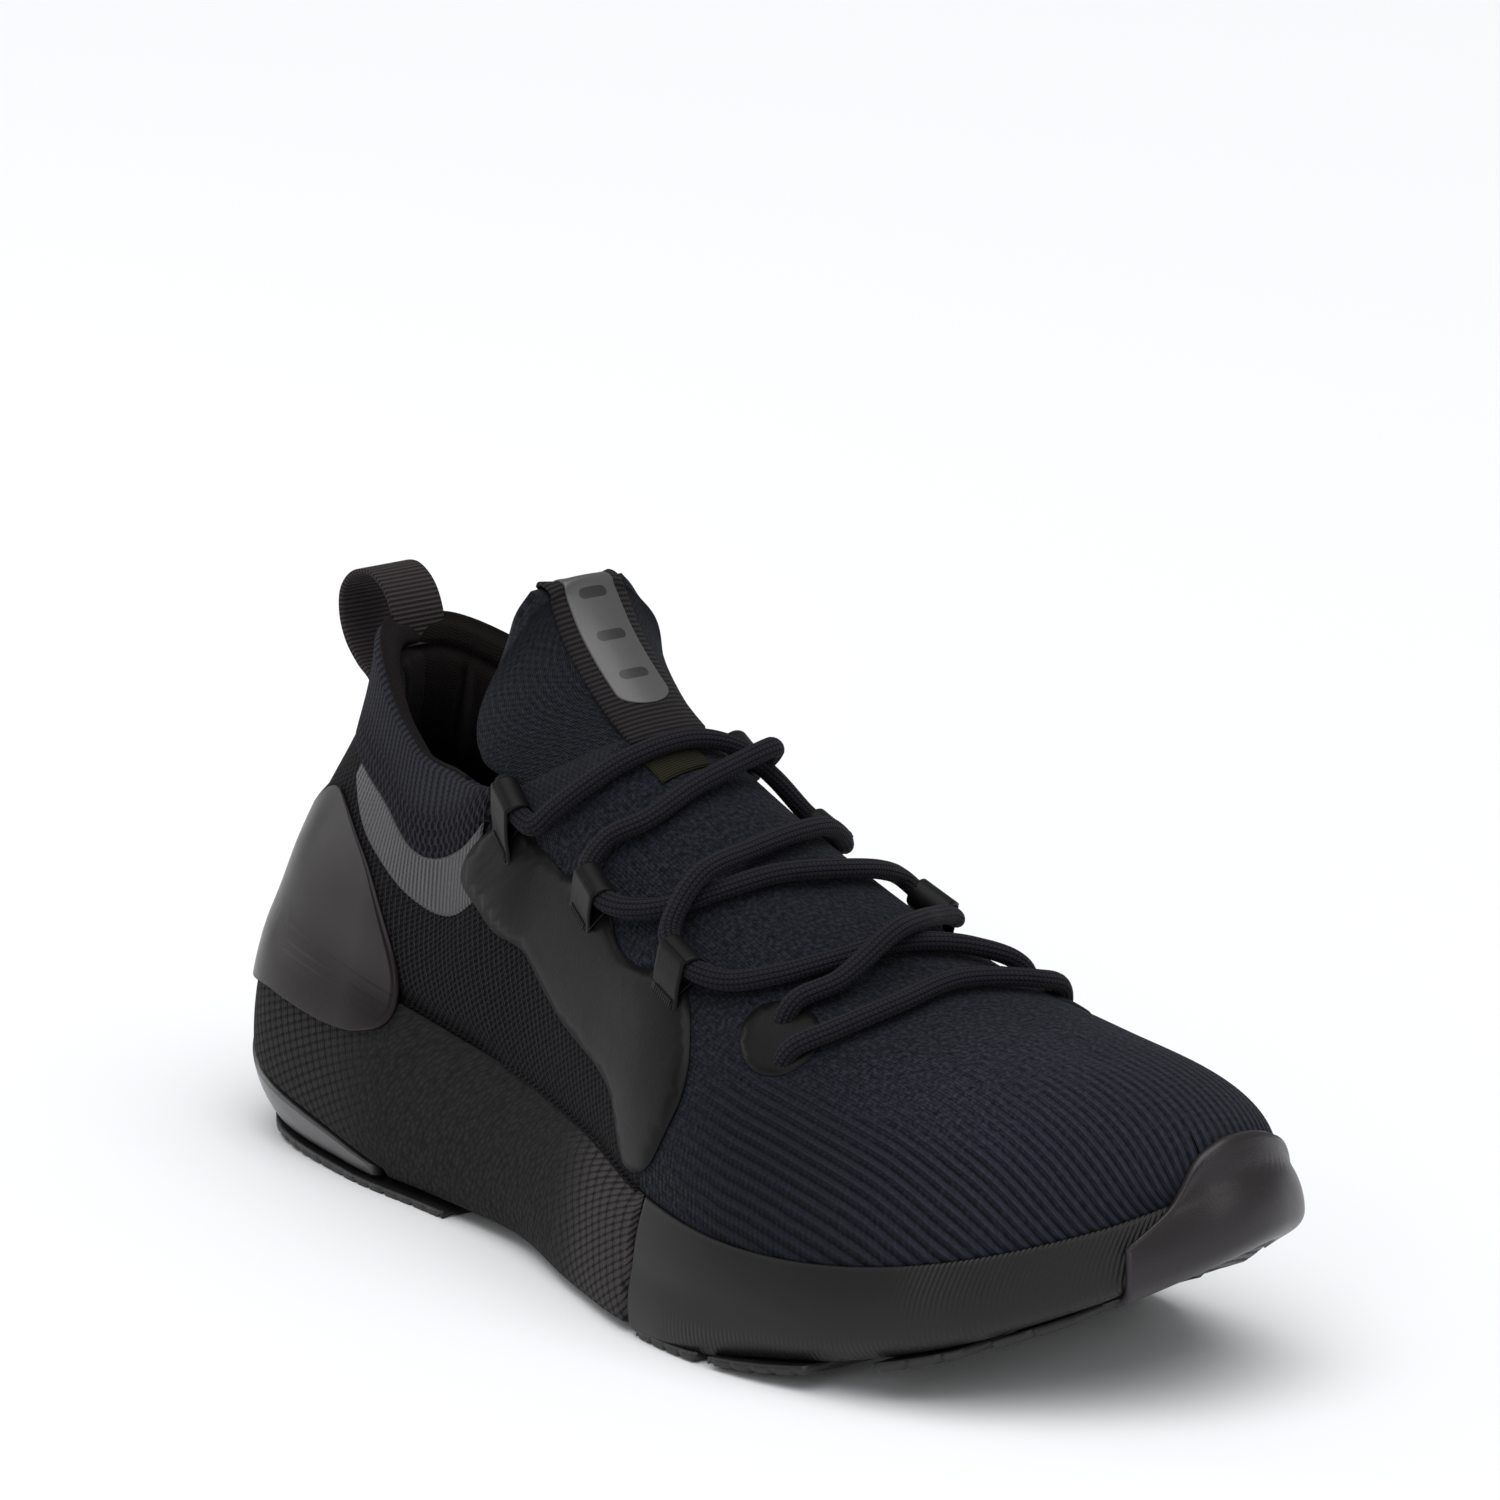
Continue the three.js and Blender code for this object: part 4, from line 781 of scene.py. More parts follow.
def cut_in_three(name):
    """The nodes of a piece that the bending zone divides."""
    return tuple(f"{name}_{end}" for end in ("rear", "flex_zone", "front"))


def station(a, side):
    return a if side < 0 else STATIONS - a


# ---------------------------------------------------------------- midsole
def wall_row(w, v, inset):
    """The sole's wall set in by that much. Its foot flares out towards the ball on the lateral side."""
    flare = smooth(w, 4.9, 6.2) * smooth(w, 8.6, 7.4) * np.clip(1 - np.asarray(v) / 0.5, 0, 1) ** 1.3
    points = wall(w, v) + inward(w) * (np.asarray(inset, float) - 3.2 * flare)[..., None]
    points[..., 2] -= 1.3 * flare
    return points


def midsole_foam():
    """The foam block between the skins, with grooves across its underside."""
    a = np.linspace(0, 12, 145)[:, None]
    rows = np.array([0.62, 0.35, 0.18, 0.05, 0.0])
    share = np.linspace(0, 1, 17)[1:-1]

    def side(w):
        inset = np.full((len(a), len(rows)), RIM + 0.6)
        chain = wall_row(np.broadcast_to(w, inset.shape), np.broadcast_to(rows, inset.shape), inset)
        chain[:, 0, 2] = around(FOOT_BED, w)[:, 0] - 0.3
        chain[..., 2] = np.minimum(chain[..., 2], chain[:, :1, 2])
        chain[:, -1, 2] += 0.3
        return chain

    lateral, medial = side(a), side(STATIONS - a)
    low_l, low_m = lateral[:, -1:], medial[:, -1:]
    under = low_l * (1 - share[:, None]) + low_m * share[:, None]
    width = np.linalg.norm(low_m - low_l, axis=-1)
    middle = np.exp(-((share - 0.5) / 0.1) ** 2)
    across = np.exp(-((np.mod(a, 0.55) - 0.275) / 0.05) ** 2) * smooth(a, 6.9, 7.4)
    under[..., 2] += np.clip(width / 30, 0, 1) * (1.5 * middle * smooth(5 - a, 0, 1) + 1.2 * across)
    bed = lateral[:, :1] * share[::-1, None] + medial[:, :1] * (1 - share[::-1, None])
    ring = np.concatenate([lateral, under, medial[:, ::-1], bed[:, ::-1]], 1)
    nu, nv = ring.shape[:2]
    i, j = np.meshgrid(np.arange(nu - 1), np.arange(nv), indexing="ij")
    k = (j + 1) % nv
    faces = np.stack([i * nv + j, (i + 1) * nv + j, (i + 1) * nv + k, i * nv + k], -1).reshape(-1, 4)
    uv = arc_uv(ring).reshape(-1, 2)
    obj = build("midsole_foam", ring.reshape(-1, 3), faces.tolist(), uv, "rubber")
    finish_piece(obj, "to_forefoot", cut_in_three("midsole_foam"))


def crescent_top(w):
    """Top edge of the heel's foam crescent, as a level of the wall: highest at the heel's back."""
    return 0.34 * (1 - (w / 3.6) ** 2) + 0.05


def lip(v):
    """Thickness of the sole's skins, thinner towards the top of the wall."""
    return RIM + (0.6 - RIM) * smooth(v, 0.6, 1)


def mesh_wrap():
    def level(w, t):
        low = np.where(np.abs(w) < 3.5, crescent_top(w) + 0.01, 0.04)
        low = np.minimum(low, 0.4)
        return low + (1 - low) * t

    def place(w, t, k):
        v = level(w, t)
        return wall_row(w, v, (1 - k) * lip(v) - 0.35 * k * smooth(v, 0.98, 0.9))

    def cells(w, t, _):
        a = np.abs(w)
        return np.maximum(smooth(a, 3.6, 2.6), smooth(a, 5.5, 6.5))

    def seam(w, t, _):
        return smooth(np.abs(w), 5.6, 6.6)

    part("mesh_wrap", (-SEAM + SEAM_GAP, SEAM - SEAM_GAP, 560, 0.03), (0, 1, 22, 0.015), place, "wrap",
         "sole_mesh", attributes={"cells": cells, "seam": seam}, edge=0.55)


def heel_crescent():
    def place(w, t, k):
        v = 0.02 + (crescent_top(w) - 0.03) * t
        return wall_row(w, v, (1 - k) * RIM - 0.8 * k)

    part("heel_foam_crescent", (-3.35, 3.35, 160, 0.02), (0, 1, 12, 0.05), place, "foam", "foam",
         edge=0.6)


def forefoot_casing():
    under = 0.14

    def place(w, t, k):
        v = np.clip((t - under) / (1 - under), 0, 1)
        turn = np.clip(1 - t / under, 0, 1)
        p = wall_row(w, v, (1 - k) * lip(v) + 7 * turn)
        p[..., 2] += turn * 0.2 + (1 - k) * RIM * (t < under)
        return p

    def ribs(w, t, _):
        a = np.minimum(w, STATIONS - w)
        return smooth(a, 9.4, 10.2) * smooth(t, 0.25, 0.45) + 0.5 * smooth(t, 0.42, 0.3) * smooth(a, 7.4, 8.0)

    stations = rimmed(SEAM + SEAM_GAP, STATIONS - SEAM - SEAM_GAP, 420, 0.02)
    part("forefoot_casing", stations, (0, 1, 26, 0.012), place, "casing", "casing", "to_forefoot",
         cut_in_three("forefoot_casing"), attributes={"ribs": ribs}, edge=0.5)


# ---------------------------------------------------------------- outsole pods
def underside(a, f):
    """The sole's underside, with f from 0 on the lateral side to 1 on the medial side."""
    low, high = wall(a, 0.0), wall(STATIONS - a, 0.0)
    return low + (high - low) * np.asarray(f)[..., None]


def pod(name, a0, a1, f0, f1, body):
    """A rubber pod with lugs: bars across it, cut apart by grooves and rounded at their edges."""
    middle = (f0 + f1) / 2

    def place(a, f, k):
        p = underside(a, f)
        reach = np.linalg.norm(wall(STATIONS - a, 0.0) - wall(a, 0.0), axis=-1)
        bar = np.abs(np.mod(p[..., 0] + 0.45 * np.abs(f - middle) * reach, LUG_PITCH) / LUG_PITCH - 0.5) * 2
        groove = smooth(bar, 0.78, 0.95)
        p[..., 2] -= POD_GAP + k * (POD_DROP - POD_GAP - GROOVE * groove)
        p[..., 2] = np.maximum(p[..., 2], GROOVE * groove * k)
        return p

    count = 96 if a1 - a0 > 2 else 44
    part(name, (a0, a1, count, 0.03), (f0, f1, 16, 0.012), place, "rubber", "rubber", body,
         edge=0.7, turned=True)


def outsole():
    """Pods named by side, and numbered from the rear."""
    forefoot = ((7.15, 7.9, "rearfoot"), (8.05, 8.95, "to_forefoot"), (9.48, 10.15, "forefoot"),
                (10.35, 10.95, "forefoot"))
    for side, low, high in (("lateral", -0.035, 0.36), ("medial", 0.64, 1.015)):
        pod(f"outsole_heel_{side}", 1.3, 4.2, low, high, "rearfoot")
        for number, (a0, a1, body) in enumerate(forefoot, 1):
            pod(f"outsole_forefoot_{side}_{number}", a0, a1, low, high, body)
    pod("outsole_toe", 11.1, 11.7, 0.02, 0.98, "forefoot")


# ---------------------------------------------------------------- inside
def insole_sheet(name, inset, low, high, finish, slot, dish):
    """A sheet over the foot bed, dished up at its rim."""
    a = np.linspace(0.02, 11.98, 120)[:, None]
    share = np.linspace(0, 1, 25)

    def layer(z):
        def side(w):
            p = around(OUTLINE, w)
            p = np.concatenate([p, np.zeros((*p.shape[:-1], 1))], -1)
            p = p + inward(w) * (around(TOP_INSET, w) + inset)[..., None]
            p[..., 2] = around(FOOT_BED, w) + z
            return p
        lateral, medial = side(a), side(STATIONS - a)
        p = lateral * (1 - share[:, None]) + medial * share[:, None]
        p[..., 2] += dish * np.abs(2 * share - 1) ** 6 - dish * 0.2
        return p

    def place(u, v, k):
        return layer(low) * (1 - k[..., None]) + layer(high) * k[..., None]

    part(name, a[:, 0], share, place, finish, slot, "to_forefoot")


# ---------------------------------------------------------------- knit upper
def top_profile(x):
    """Height of the vamp's centre line at x, out to the toe."""
    s = np.linspace(1, 0, 40)
    front = upper(np.full_like(s, 12.0), s)
    table = np.concatenate([np.array(RIDGE, float)[:-1], front])
    order = np.argsort(table[:, 0])
    table = table[order]
    return np.interp(x, table[:, 0], table[:, 1]), np.interp(x, table[:, 0], table[:, 2])


def wale_uv(u, v, points):
    """Knit coordinates: along the shoe, and the distance from its centre line across it."""
    x, y, z = np.moveaxis(points, -1, 0)
    cy, cz = top_profile(x)
    across = np.hypot(y - cy, np.maximum(cz - z, 0)) * np.sign(v + 1e-9)
    return np.stack([x * 1.06, across], -1)


def vamp():
    def place(a, c, k):
        over = np.clip(np.abs(c) - 1, 0, 1)
        p = cape(a, np.clip(c, -1, 1), -KNIT * (1 - k) + 0.1 * k)
        w = np.where(c < 0, a, STATIONS - a)
        p = p + inward(w) * (over * 12)[..., None]
        p[..., 2] -= over * 40
        return p

    def ribs(a, c, points):
        s = 1 - np.abs(c)
        toe = smooth(points[..., 0], 235, 280) * 0.9
        low = smooth(s, 0.62, 0.3) * smooth(a, 7.0, 8.2)
        return np.maximum(toe, low)

    def light(a, c, points):
        return smooth(points[..., 0], 215, 275)

    c = np.concatenate([[-1.08], np.linspace(-1, 1, 111), [1.08]])
    part("vamp_knit", (4.99, 12, 190, 0.02), c, place, "vamp", "knit", "to_forefoot",
         cut_in_three("vamp_knit"), uv=wale_uv, attributes={"ribs": ribs, "light": light})


def quarter(side_name, side):
    """Open mesh from the heel to the front end of the eyestay, whose band covers its top edge there."""
    top_keys = [4.25, 4.4, 4.6, 4.8, 5.1, 5.5, 6.0, 6.5, 6.75, 6.95]
    top = [0.68, 0.62, 0.5, 0.42, 0.36, 0.31, 0.29, 0.25, 0.17, 0.06]

    def place(a, t, k):
        w = station(a, side)
        high = np.where(a < 4.25, knit_edge(a) + 0.03, spline(top_keys, top, a))
        p = 0.985 + (high + 0.015) * t
        recess = 1.5 * smooth(t * high, 0.09, 0.0) * smooth(a, 0.5, 2.0) * smooth(a, 4.9, 4.3)
        depth = QUARTER * (1 - k) * smooth(a, 5.1, 4.8) + 0.1 * (1 - k) + recess
        return skin(w, p, 0.22 * smooth(a, 4.2, 4.5) * k - depth)

    part(f"quarter_mesh_{side_name}", (0.012, 6.95, 220, 0.02), np.linspace(0, 1, 60), place, "quarter",
         "quarter_mesh", turned=side > 0)


def collar():
    def place(w, t, k):
        low = knit_edge(w)
        s = low + (1 - low) * t
        swell = 1.2 * np.sin(np.pi * np.clip(t, 0, 1)) ** 0.7
        return skin(w, 1 + s, -KNIT * (1 - k) + swell * k + 0.15)

    part("collar_knit", (-4.47, 4.47, 330, 0.02), (0, 1, 30, 0.04), place, "collar", "knit",
         fan=0, edge=0.45)


def pad_depth(w, s):
    """How far the padded lining stands in, with a sewn channel under its top edge and a dart on each side."""
    swell = np.sin(np.pi * np.clip((s - 0.3) / 0.7, 0, 1)) ** 0.75
    channel = 0.75 * np.exp(-((s - 0.9) / 0.018) ** 2)
    dart = 0.5 * np.exp(-((np.abs(w) - 1.3) / 0.12) ** 2) * smooth(s, 0.95, 0.8)
    return KNIT + 0.5 + PAD * swell * (1 - channel) * (1 - dart)


def lining():
    """Padded lining, rolled over the collar's top edge."""
    def place(w, s, k):
        roll = smooth(s, 0.97, 1.0)
        depth = pad_depth(w, s) * (1 - roll) + 0.6 * roll
        p = skin(w, 1 + np.minimum(s, 1), -depth - LINING * (1 - k))
        p[..., 2] += 0.9 * smooth(s, 0.98, 1.0)
        return p

    s = np.concatenate([np.linspace(0.06, 0.8, 26), np.linspace(0.82, 1.0, 26)])
    obj = shell("collar_lining", (-4.2, 4.2, 220, 0.02), s, place, "lining", turned=True)
    finish_piece(obj, "rearfoot", ("collar_lining", "collar_foam_pad"))


def gusset(side_name, side):
    """Ribbed elastic between the collar's front end and the tongue."""
    def place(a, s, k):
        bow = 0.8 * np.sin(np.pi * (a - 3.9) / 0.9)
        return skin(station(a, side), 1 + s, -KNIT - 1.4 + k + bow)

    part(f"gusset_{side_name}", (3.95, 4.72, 40, 0.02), (0.5, 1.0, 24, 0.02), place, "collar",
         "knit", turned=side > 0)


def throat_knit(side_name, side):
    """The vamp's knit runs on from the throat to the gusset, over the tongue's root."""
    def place(a, s, k):
        return skin(station(a, side), 1 + s, -KNIT * (1 - k) + 0.1 * k - 2.2 * smooth(s, 0.9, 1.0))

    part(f"throat_knit_{side_name}", (4.5, 5.03, 40, 0.01), (0.3, 1.01, 40, 0.02), place,
         "tongue", "knit", nodes=(), turned=side > 0)


def film_band(side_name, side):
    """Shiny film below the collar's knit."""
    keys, low_edge = [2.3, 2.8, 3.2, 3.65, 4.2, 4.5], [0.6, 0.48, 0.44, 0.41, 0.42, 0.5]

    def place(a, t, k):
        low = spline(keys, low_edge, a)
        s = low + (knit_edge(a) + 0.015 - low) * t
        return skin(station(a, side), 1 + s, 0.05 + 0.5 * k)

    part(f"collar_film_{side_name}", (2.3, 4.42, 110, 0.02), (0, 1, 22, 0.05), place, "band",
         "film", turned=side > 0, fan=12)


# ---------------------------------------------------------------- lace
# From the lateral end to the medial end: station, share across, and height over the knit.
LACE_ROUTE = [
    (4.5, -0.02, 2), (4.6, -0.14, 3.6), (4.74, -0.35, 3.4), (4.87, -0.45, 3.4), (4.98, -0.44, 3.4),
    (5.1, -0.35, 3.4), (5.2, -0.2, 3.3), (5.26, 0, 3.2), (5.3, 0.2, 3.2), (5.38, 0.37, 3.6),
    (5.52, 0.49, 4.6), (5.74, 0.5, 4.6), (5.92, 0.49, 4.4),
    (6.08, 0.4, 3.6), (6.26, 0.25, 3.2), (6.43, 0.08, 3.2), (6.52, -0.12, 4.5), (6.56, -0.3, 8.6),
    (6.63, -0.43, 5.4), (6.76, -0.45, 4.6), (6.92, -0.45, 4.6), (7.08, -0.44, 4.4),
    (7.3, -0.4, 3.4), (7.55, -0.31, 3.2), (7.76, -0.17, 3.2), (7.86, 0, 3.2), (7.93, 0.2, 3.2),
    (8.0, 0.35, 2.6), (8.05, 0.42, -2.5), (8.15, 0.46, -5.5), (8.25, 0.44, -2.5), (8.35, 0.36, 2.6),
    (8.52, 0.22, 3.2), (8.58, 0, 3.2), (8.54, -0.19, 3.2), (8.36, -0.34, 3.2),
    (8.16, -0.44, 2.6), (8.04, -0.49, -2.5), (7.93, -0.48, -5.5), (7.84, -0.41, -2.5), (7.86, -0.33, 2.6),
    (8.0, -0.22, 4), (7.95, -0.06, 8.6), (7.72, 0.08, 6), (7.48, 0.2, 3.4), (7.25, 0.34, 3.4),
    (7.1, 0.44, 4.4), (6.92, 0.46, 4.6), (6.76, 0.45, 4.6), (6.66, 0.4, 4.4),
    (6.78, 0.27, 3.4), (6.88, 0.1, 3.2), (6.78, -0.1, 3.2), (6.62, -0.27, 3.2), (6.4, -0.4, 3.4),
    (6.12, -0.48, 4), (5.9, -0.51, 4.6), (5.74, -0.51, 4.6), (5.58, -0.49, 4.6),
    (5.58, -0.4, 3.8), (5.74, -0.28, 3.2), (5.75, -0.12, 3.2), (5.68, 0.06, 4.4), (5.52, 0.23, 8.6),
    (5.22, 0.37, 4.6), (5.0, 0.44, 3.6), (4.86, 0.42, 4.2), (4.74, 0.32, 4.6), (4.6, 0.12, 4.4),
    (4.5, 0.02, 2),
]


def lace_line():
    """The lace's centre line, evenly sampled, and the upward direction at each sample."""
    route = np.array(LACE_ROUTE, float)
    points = cape(route[:, 0], route[:, 1], route[:, 2])
    step = np.sqrt(np.linalg.norm(np.diff(points, axis=0), axis=-1))
    keys = np.concatenate([[0], np.cumsum(step)])
    dense = spline(keys, points, np.linspace(0, keys[-1], 6000))
    length = np.concatenate([[0], np.cumsum(np.linalg.norm(np.diff(dense, axis=0), axis=-1))])
    even = np.linspace(0, length[-1], 1100)
    line = np.stack([np.interp(even, length, dense[:, k]) for k in range(3)], -1)
    above = unit(cape(route[:, 0], route[:, 1], route[:, 2] + 1) - points)
    up = spline(keys, above, np.interp(even, length, np.linspace(0, keys[-1], 6000)))
    return line, unit(up), even


LACE_LINE, LACE_UP, LACE_AT = lace_line()


def lace():
    sides = 18
    tangent = unit(np.gradient(LACE_LINE, axis=0))
    right = unit(np.cross(tangent, LACE_UP))
    up = np.cross(right, tangent)
    angle = np.linspace(0, 2 * np.pi, sides, endpoint=False)
    wide, high = LACE_RADIUS * 1.06, LACE_RADIUS * 0.88
    ring = (np.cos(angle)[None, :, None] * wide * right[:, None]
            + np.sin(angle)[None, :, None] * high * up[:, None])
    tube = LACE_LINE[:, None] + ring
    faces = grid_faces(len(LACE_LINE), sides + 1)
    points = np.concatenate([tube, tube[:, :1]], 1).reshape(-1, 3)
    turn = np.linspace(0, 2 * np.pi * LACE_RADIUS, sides + 1)
    uv = np.stack(np.meshgrid(LACE_AT, turn, indexing="ij"), -1).reshape(-1, 2)
    obj = build("lace", points, faces.tolist(), uv, "lace")
    finish_piece(obj, "to_forefoot")


# Where each tab's fold is, as station and share across, and where it is sewn, as station and level.
LOOP_PLACES = ((4.68, 0.24), (5.74, 0.505), (6.86, 0.45))
BAR_TACKS = ((4.61, 0.61), (5.58, 0.39), (6.81, 0.445))
LOOP_HALF = 5.0                                    # half the width of a tab's fold
TAB_THICKNESS = 0.75
TAB_SLACK = 0.25                                   # between the lace and the tab's inside
TACK_HALF_LENGTH, TACK_HALF_WIDTH = 3.9, 1.2
# The leg of a tab: share of the way to its bar tack, height in mm, and width against that of the fold.
TAB_FOOT = ((0.5, 0.3, 1.02), (0.8, 0.05, 1.06), (1.0, 0.0, 1.12), (1.25, -0.1, 1.25), (1.5, -0.8, 1.45))


def lace_loop(name, a, c, tack):
    """A film tab rolled over the lace: one end lies under it, and the other runs down to the eyestay."""
    side = np.sign(c)
    at = int(np.argmin(np.linalg.norm(LACE_LINE - cape(a, c, LACE_HEIGHT), axis=-1)))
    centre = LACE_LINE[at]
    along = unit(LACE_LINE[at + 4] - LACE_LINE[at - 4])
    along *= np.sign(along[0])
    up = unit(cape(a, c, 6) - cape(a, c, 2))
    up = unit(up - along * np.dot(up, along))
    inner = np.cross(up, along)
    inner *= np.sign(inner[2])                         # towards the ridge
    r = LACE_RADIUS + TAB_SLACK
    turn = np.linspace(-math.pi / 2, math.pi * 0.6, 13)
    fold = [(r * math.cos(t), r * math.sin(t)) for t in turn]
    under = [(-7.5, -r - 0.5), (-4, -r - 0.2)]
    rows = len(under) + len(fold) + len(TAB_FOOT)
    columns = rimmed(-1, 1, 18, 0.05)
    line = [centre + along * (columns * LOOP_HALF)[:, None] + inner * x + up * y for x, y in under + fold]
    foot = skin(station(tack[0], side), 1 + tack[1], 0.65)
    rise = unit(skin(station(tack[0], side), 1 + tack[1], 1.65) - foot)
    flush = unit(along - rise * np.dot(along, rise))
    head = centre + inner * fold[-1][0] + up * fold[-1][1]
    for share, lift, flare in TAB_FOOT:
        turned = unit(along + (flush - along) * min(share, 1))
        middle = head + (foot - head) * share + rise * lift
        line.append(middle + turned * (columns * LOOP_HALF * flare)[:, None])
    line = np.stack(line)
    keys = np.arange(rows)

    def place(u, t, k):
        points = np.stack([spline(keys, line[:, i], t[i]) for i in range(len(columns))])
        ahead = np.stack([spline(keys, line[:, i], t[i] + 0.05) - spline(keys, line[:, i], t[i] - 0.05)
                          for i in range(len(columns))])
        out = unit(np.cross(ahead, np.broadcast_to(along, ahead.shape)))
        fold_row = int(np.argmin(np.abs(t[0] - len(under) - 5.5)))
        out *= np.sign(np.dot(out[len(columns) // 2, fold_row], inner))
        return points + out * (TAB_THICKNESS * k)[..., None]

    part(name, columns, (0, rows - 1, 76, 0.08), place, "film", "webbing")
    down = unit(foot - head)

    def sewn(x, y, k):
        return foot + flush * x[..., None] + down * y[..., None] + rise * (0.7 + 0.6 * k)[..., None]

    part(f"bar_tack_{name}", (-TACK_HALF_LENGTH, TACK_HALF_LENGTH, 24, 0.2),
         (-TACK_HALF_WIDTH, TACK_HALF_WIDTH, 8, 0.2), sewn, "thread", "webbing", nodes=(), turned=side < 0)


# ---------------------------------------------------------------- overlays
# The eyestay's outline, as station and level.
EYESTAY = [(4.30, 0.64), (4.38, 0.71), (4.50, 0.745), (4.63, 0.72), (4.74, 0.63), (4.84, 0.53), (4.95, 0.465),
           (5.1, 0.44), (5.26, 0.44), (5.4, 0.465), (5.55, 0.48), (5.75, 0.475), (5.9, 0.455), (6.02, 0.43),
           (6.16, 0.42), (6.32, 0.425), (6.48, 0.455), (6.62, 0.495), (6.82, 0.51), (6.98, 0.50),
           (7.12, 0.465),
           (7.23, 0.42), (7.34, 0.355), (7.37, 0.27), (7.26, 0.16), (7.12, 0.08), (6.92, 0.035), (6.68, 0.03),
           (6.54, 0.08), (6.42, 0.13), (6.16, 0.15), (5.8, 0.155), (5.48, 0.165), (5.1, 0.21), (4.68, 0.305),
           (4.44, 0.45), (4.29, 0.56)]


def eyestay(side_name, side):
    def place(a, s, k):
        near = [skin(station(a + da, side), 1 + s + ds, FILM_LIFT + FILM * k)
                for da, ds in ((0, 0), (0.1, 0), (-0.1, 0), (0, 0.03), (0, -0.03))]
        return sum(near) / len(near)

    obj = patch(f"eyestay_{side_name}", smooth_loop(EYESTAY, 8), 1.7, place, "film")
    finish_piece(obj)


# The middle of each eyelet patch, as station and share across.
EYELETS = (("lateral", 7.93, -0.425), ("medial", 8.16, 0.4))


def eyelet_patch(side_name, a0, c0):
    """Oval film round a lace eyelet near the toe."""
    turn = np.linspace(0, 2 * np.pi, 72, endpoint=False)
    oval = np.stack([a0 + 0.36 * np.cos(turn), c0 + 0.115 * np.sin(turn)], -1)

    def place(a, c, k):
        return cape(a, c, 0.05 + 0.8 * k)

    obj = patch(f"eyelet_patch_{side_name}", oval, 1.2, place, "film")
    finish_piece(obj, "to_forefoot")


def heel_clip():
    """Moulded plastic round the heel, lower at its back, with shallow channels there."""
    levels = [0, 0.15, 0.35, 0.6, 0.8, 1]
    reach = [3.0, 3.42, 3.56, 3.34, 2.95, 2.35]
    path = [0.72, 0.84, 1.04, 1.25, 1.4, 1.51]
    dip = 0.24

    def corner(t, low, high, size):
        """1 in the middle, less near either end, for rounding a corner of the outline."""
        near = np.clip(np.minimum(t - low, high - t) / size, 0, 1)
        return np.sqrt(1 - (1 - near) ** 2)

    def place(q, t, k):
        w = q * (spline(levels, reach, t) - 0.5 * (1 - corner(t, -0.004, 1.004, 0.07)))
        sink = dip * (1 - smooth(np.abs(w), 1.3, 2.3))
        start = path[0] - 0.1 * (1 - smooth(np.abs(w), 1.4, 2.3))
        rise = (spline(levels, path, t) - path[0]) * (1 - sink)
        p = start + rise * (path[-1] - start) / (path[-1] - path[0])
        channel = np.abs(np.mod(t * 9, 1) - 0.5) * 2
        mask = smooth(t, 0.33, 0.36) * smooth(t, 0.78, 0.75) * smooth(np.abs(w), 1.3, 1.05)
        cut = 0.9 * smooth(channel, 0.35, 0.1) * mask
        lift = 0.25 + k * (1.55 - 0.6 * smooth(t, 0.3, 0.9) - cut)
        return eased_skin(w, p, lift)

    part("heel_counter_clip", (-1, 1, 240, 0.008), (0, 1, 130, 0.01), place, "clip", "clip",
         edge=0.3)


def toe_bumper():
    keys = [11.25, 11.6, 11.85, 12.2, 12.6, 13.1, 13.5, 13.9, 14.3]
    top = [0.72, 0.96, 1.17, 1.26, 1.26, 1.2, 1.13, 1, 0.8]

    def place(w, t, k):
        p = 0.02 + (spline(keys, top, w) - 0.02) * t
        bead = 0.3 * smooth(t, 0.93, 0.97)
        return eased_skin(w, p, 0.4 + k * (1.8 + bead))

    part("toe_bumper", (11.25, 14.3, 110, 0.02), (0, 1, 40, 0.02), place, "bumper", "rubber",
         "forefoot", edge=0.35)


# ---------------------------------------------------------------- tongue
def tongue():
    def place(u, v, k):
        thick = 0.5 + (TONGUE_THICKNESS - 0.5) * smooth(v, 0.1, 0.45)
        swell = 0.7 * np.sqrt(np.clip(1 - u ** 2, 0, 1)) * smooth(v, 0.3, 0.6)
        return tongue_skin(u, v, -thick * (1 - k) + swell * k)

    obj = shell("tongue", (-1, 1, 90, 0.02), (0.12, 1, 80, 0.012), place, "tongue", edge=0.5,
                turned=True)
    finish_piece(obj, "to_tongue", ("tongue_base", "tongue_flap"))


def tape_point(y, t, lift):
    """A point of the tape: t is its distance round the tongue's top, in tongue rows, past 1 on the back."""
    v = np.where(t <= 1, t, np.where(t < 1.06, 1, 2.06 - t))
    u = y / spline(TONGUE_ROWS, [p[1] for p in TONGUE_EDGE], np.clip(v, 0, 1))
    front = tongue_skin(u, v, 0.75 + lift)
    back = tongue_skin(u, v, -TONGUE_THICKNESS - 0.2 - lift)
    turn = np.clip((t - 1) / 0.06, 0, 1) * np.pi
    middle = tongue_skin(u, np.ones_like(v), -TONGUE_THICKNESS / 2)
    out = tongue_skin(u, np.ones_like(v), 1.0) - tongue_skin(u, np.ones_like(v), 0.0)
    reach = TONGUE_THICKNESS / 2 + 0.75 + lift
    over = middle + out * (np.cos(turn) * reach)[..., None]
    over[..., 2] += np.sin(turn) * (1.2 + lift)
    share = (t > 1)[..., None]
    return np.where(share, np.where((t >= 1.06)[..., None], back, over), front)


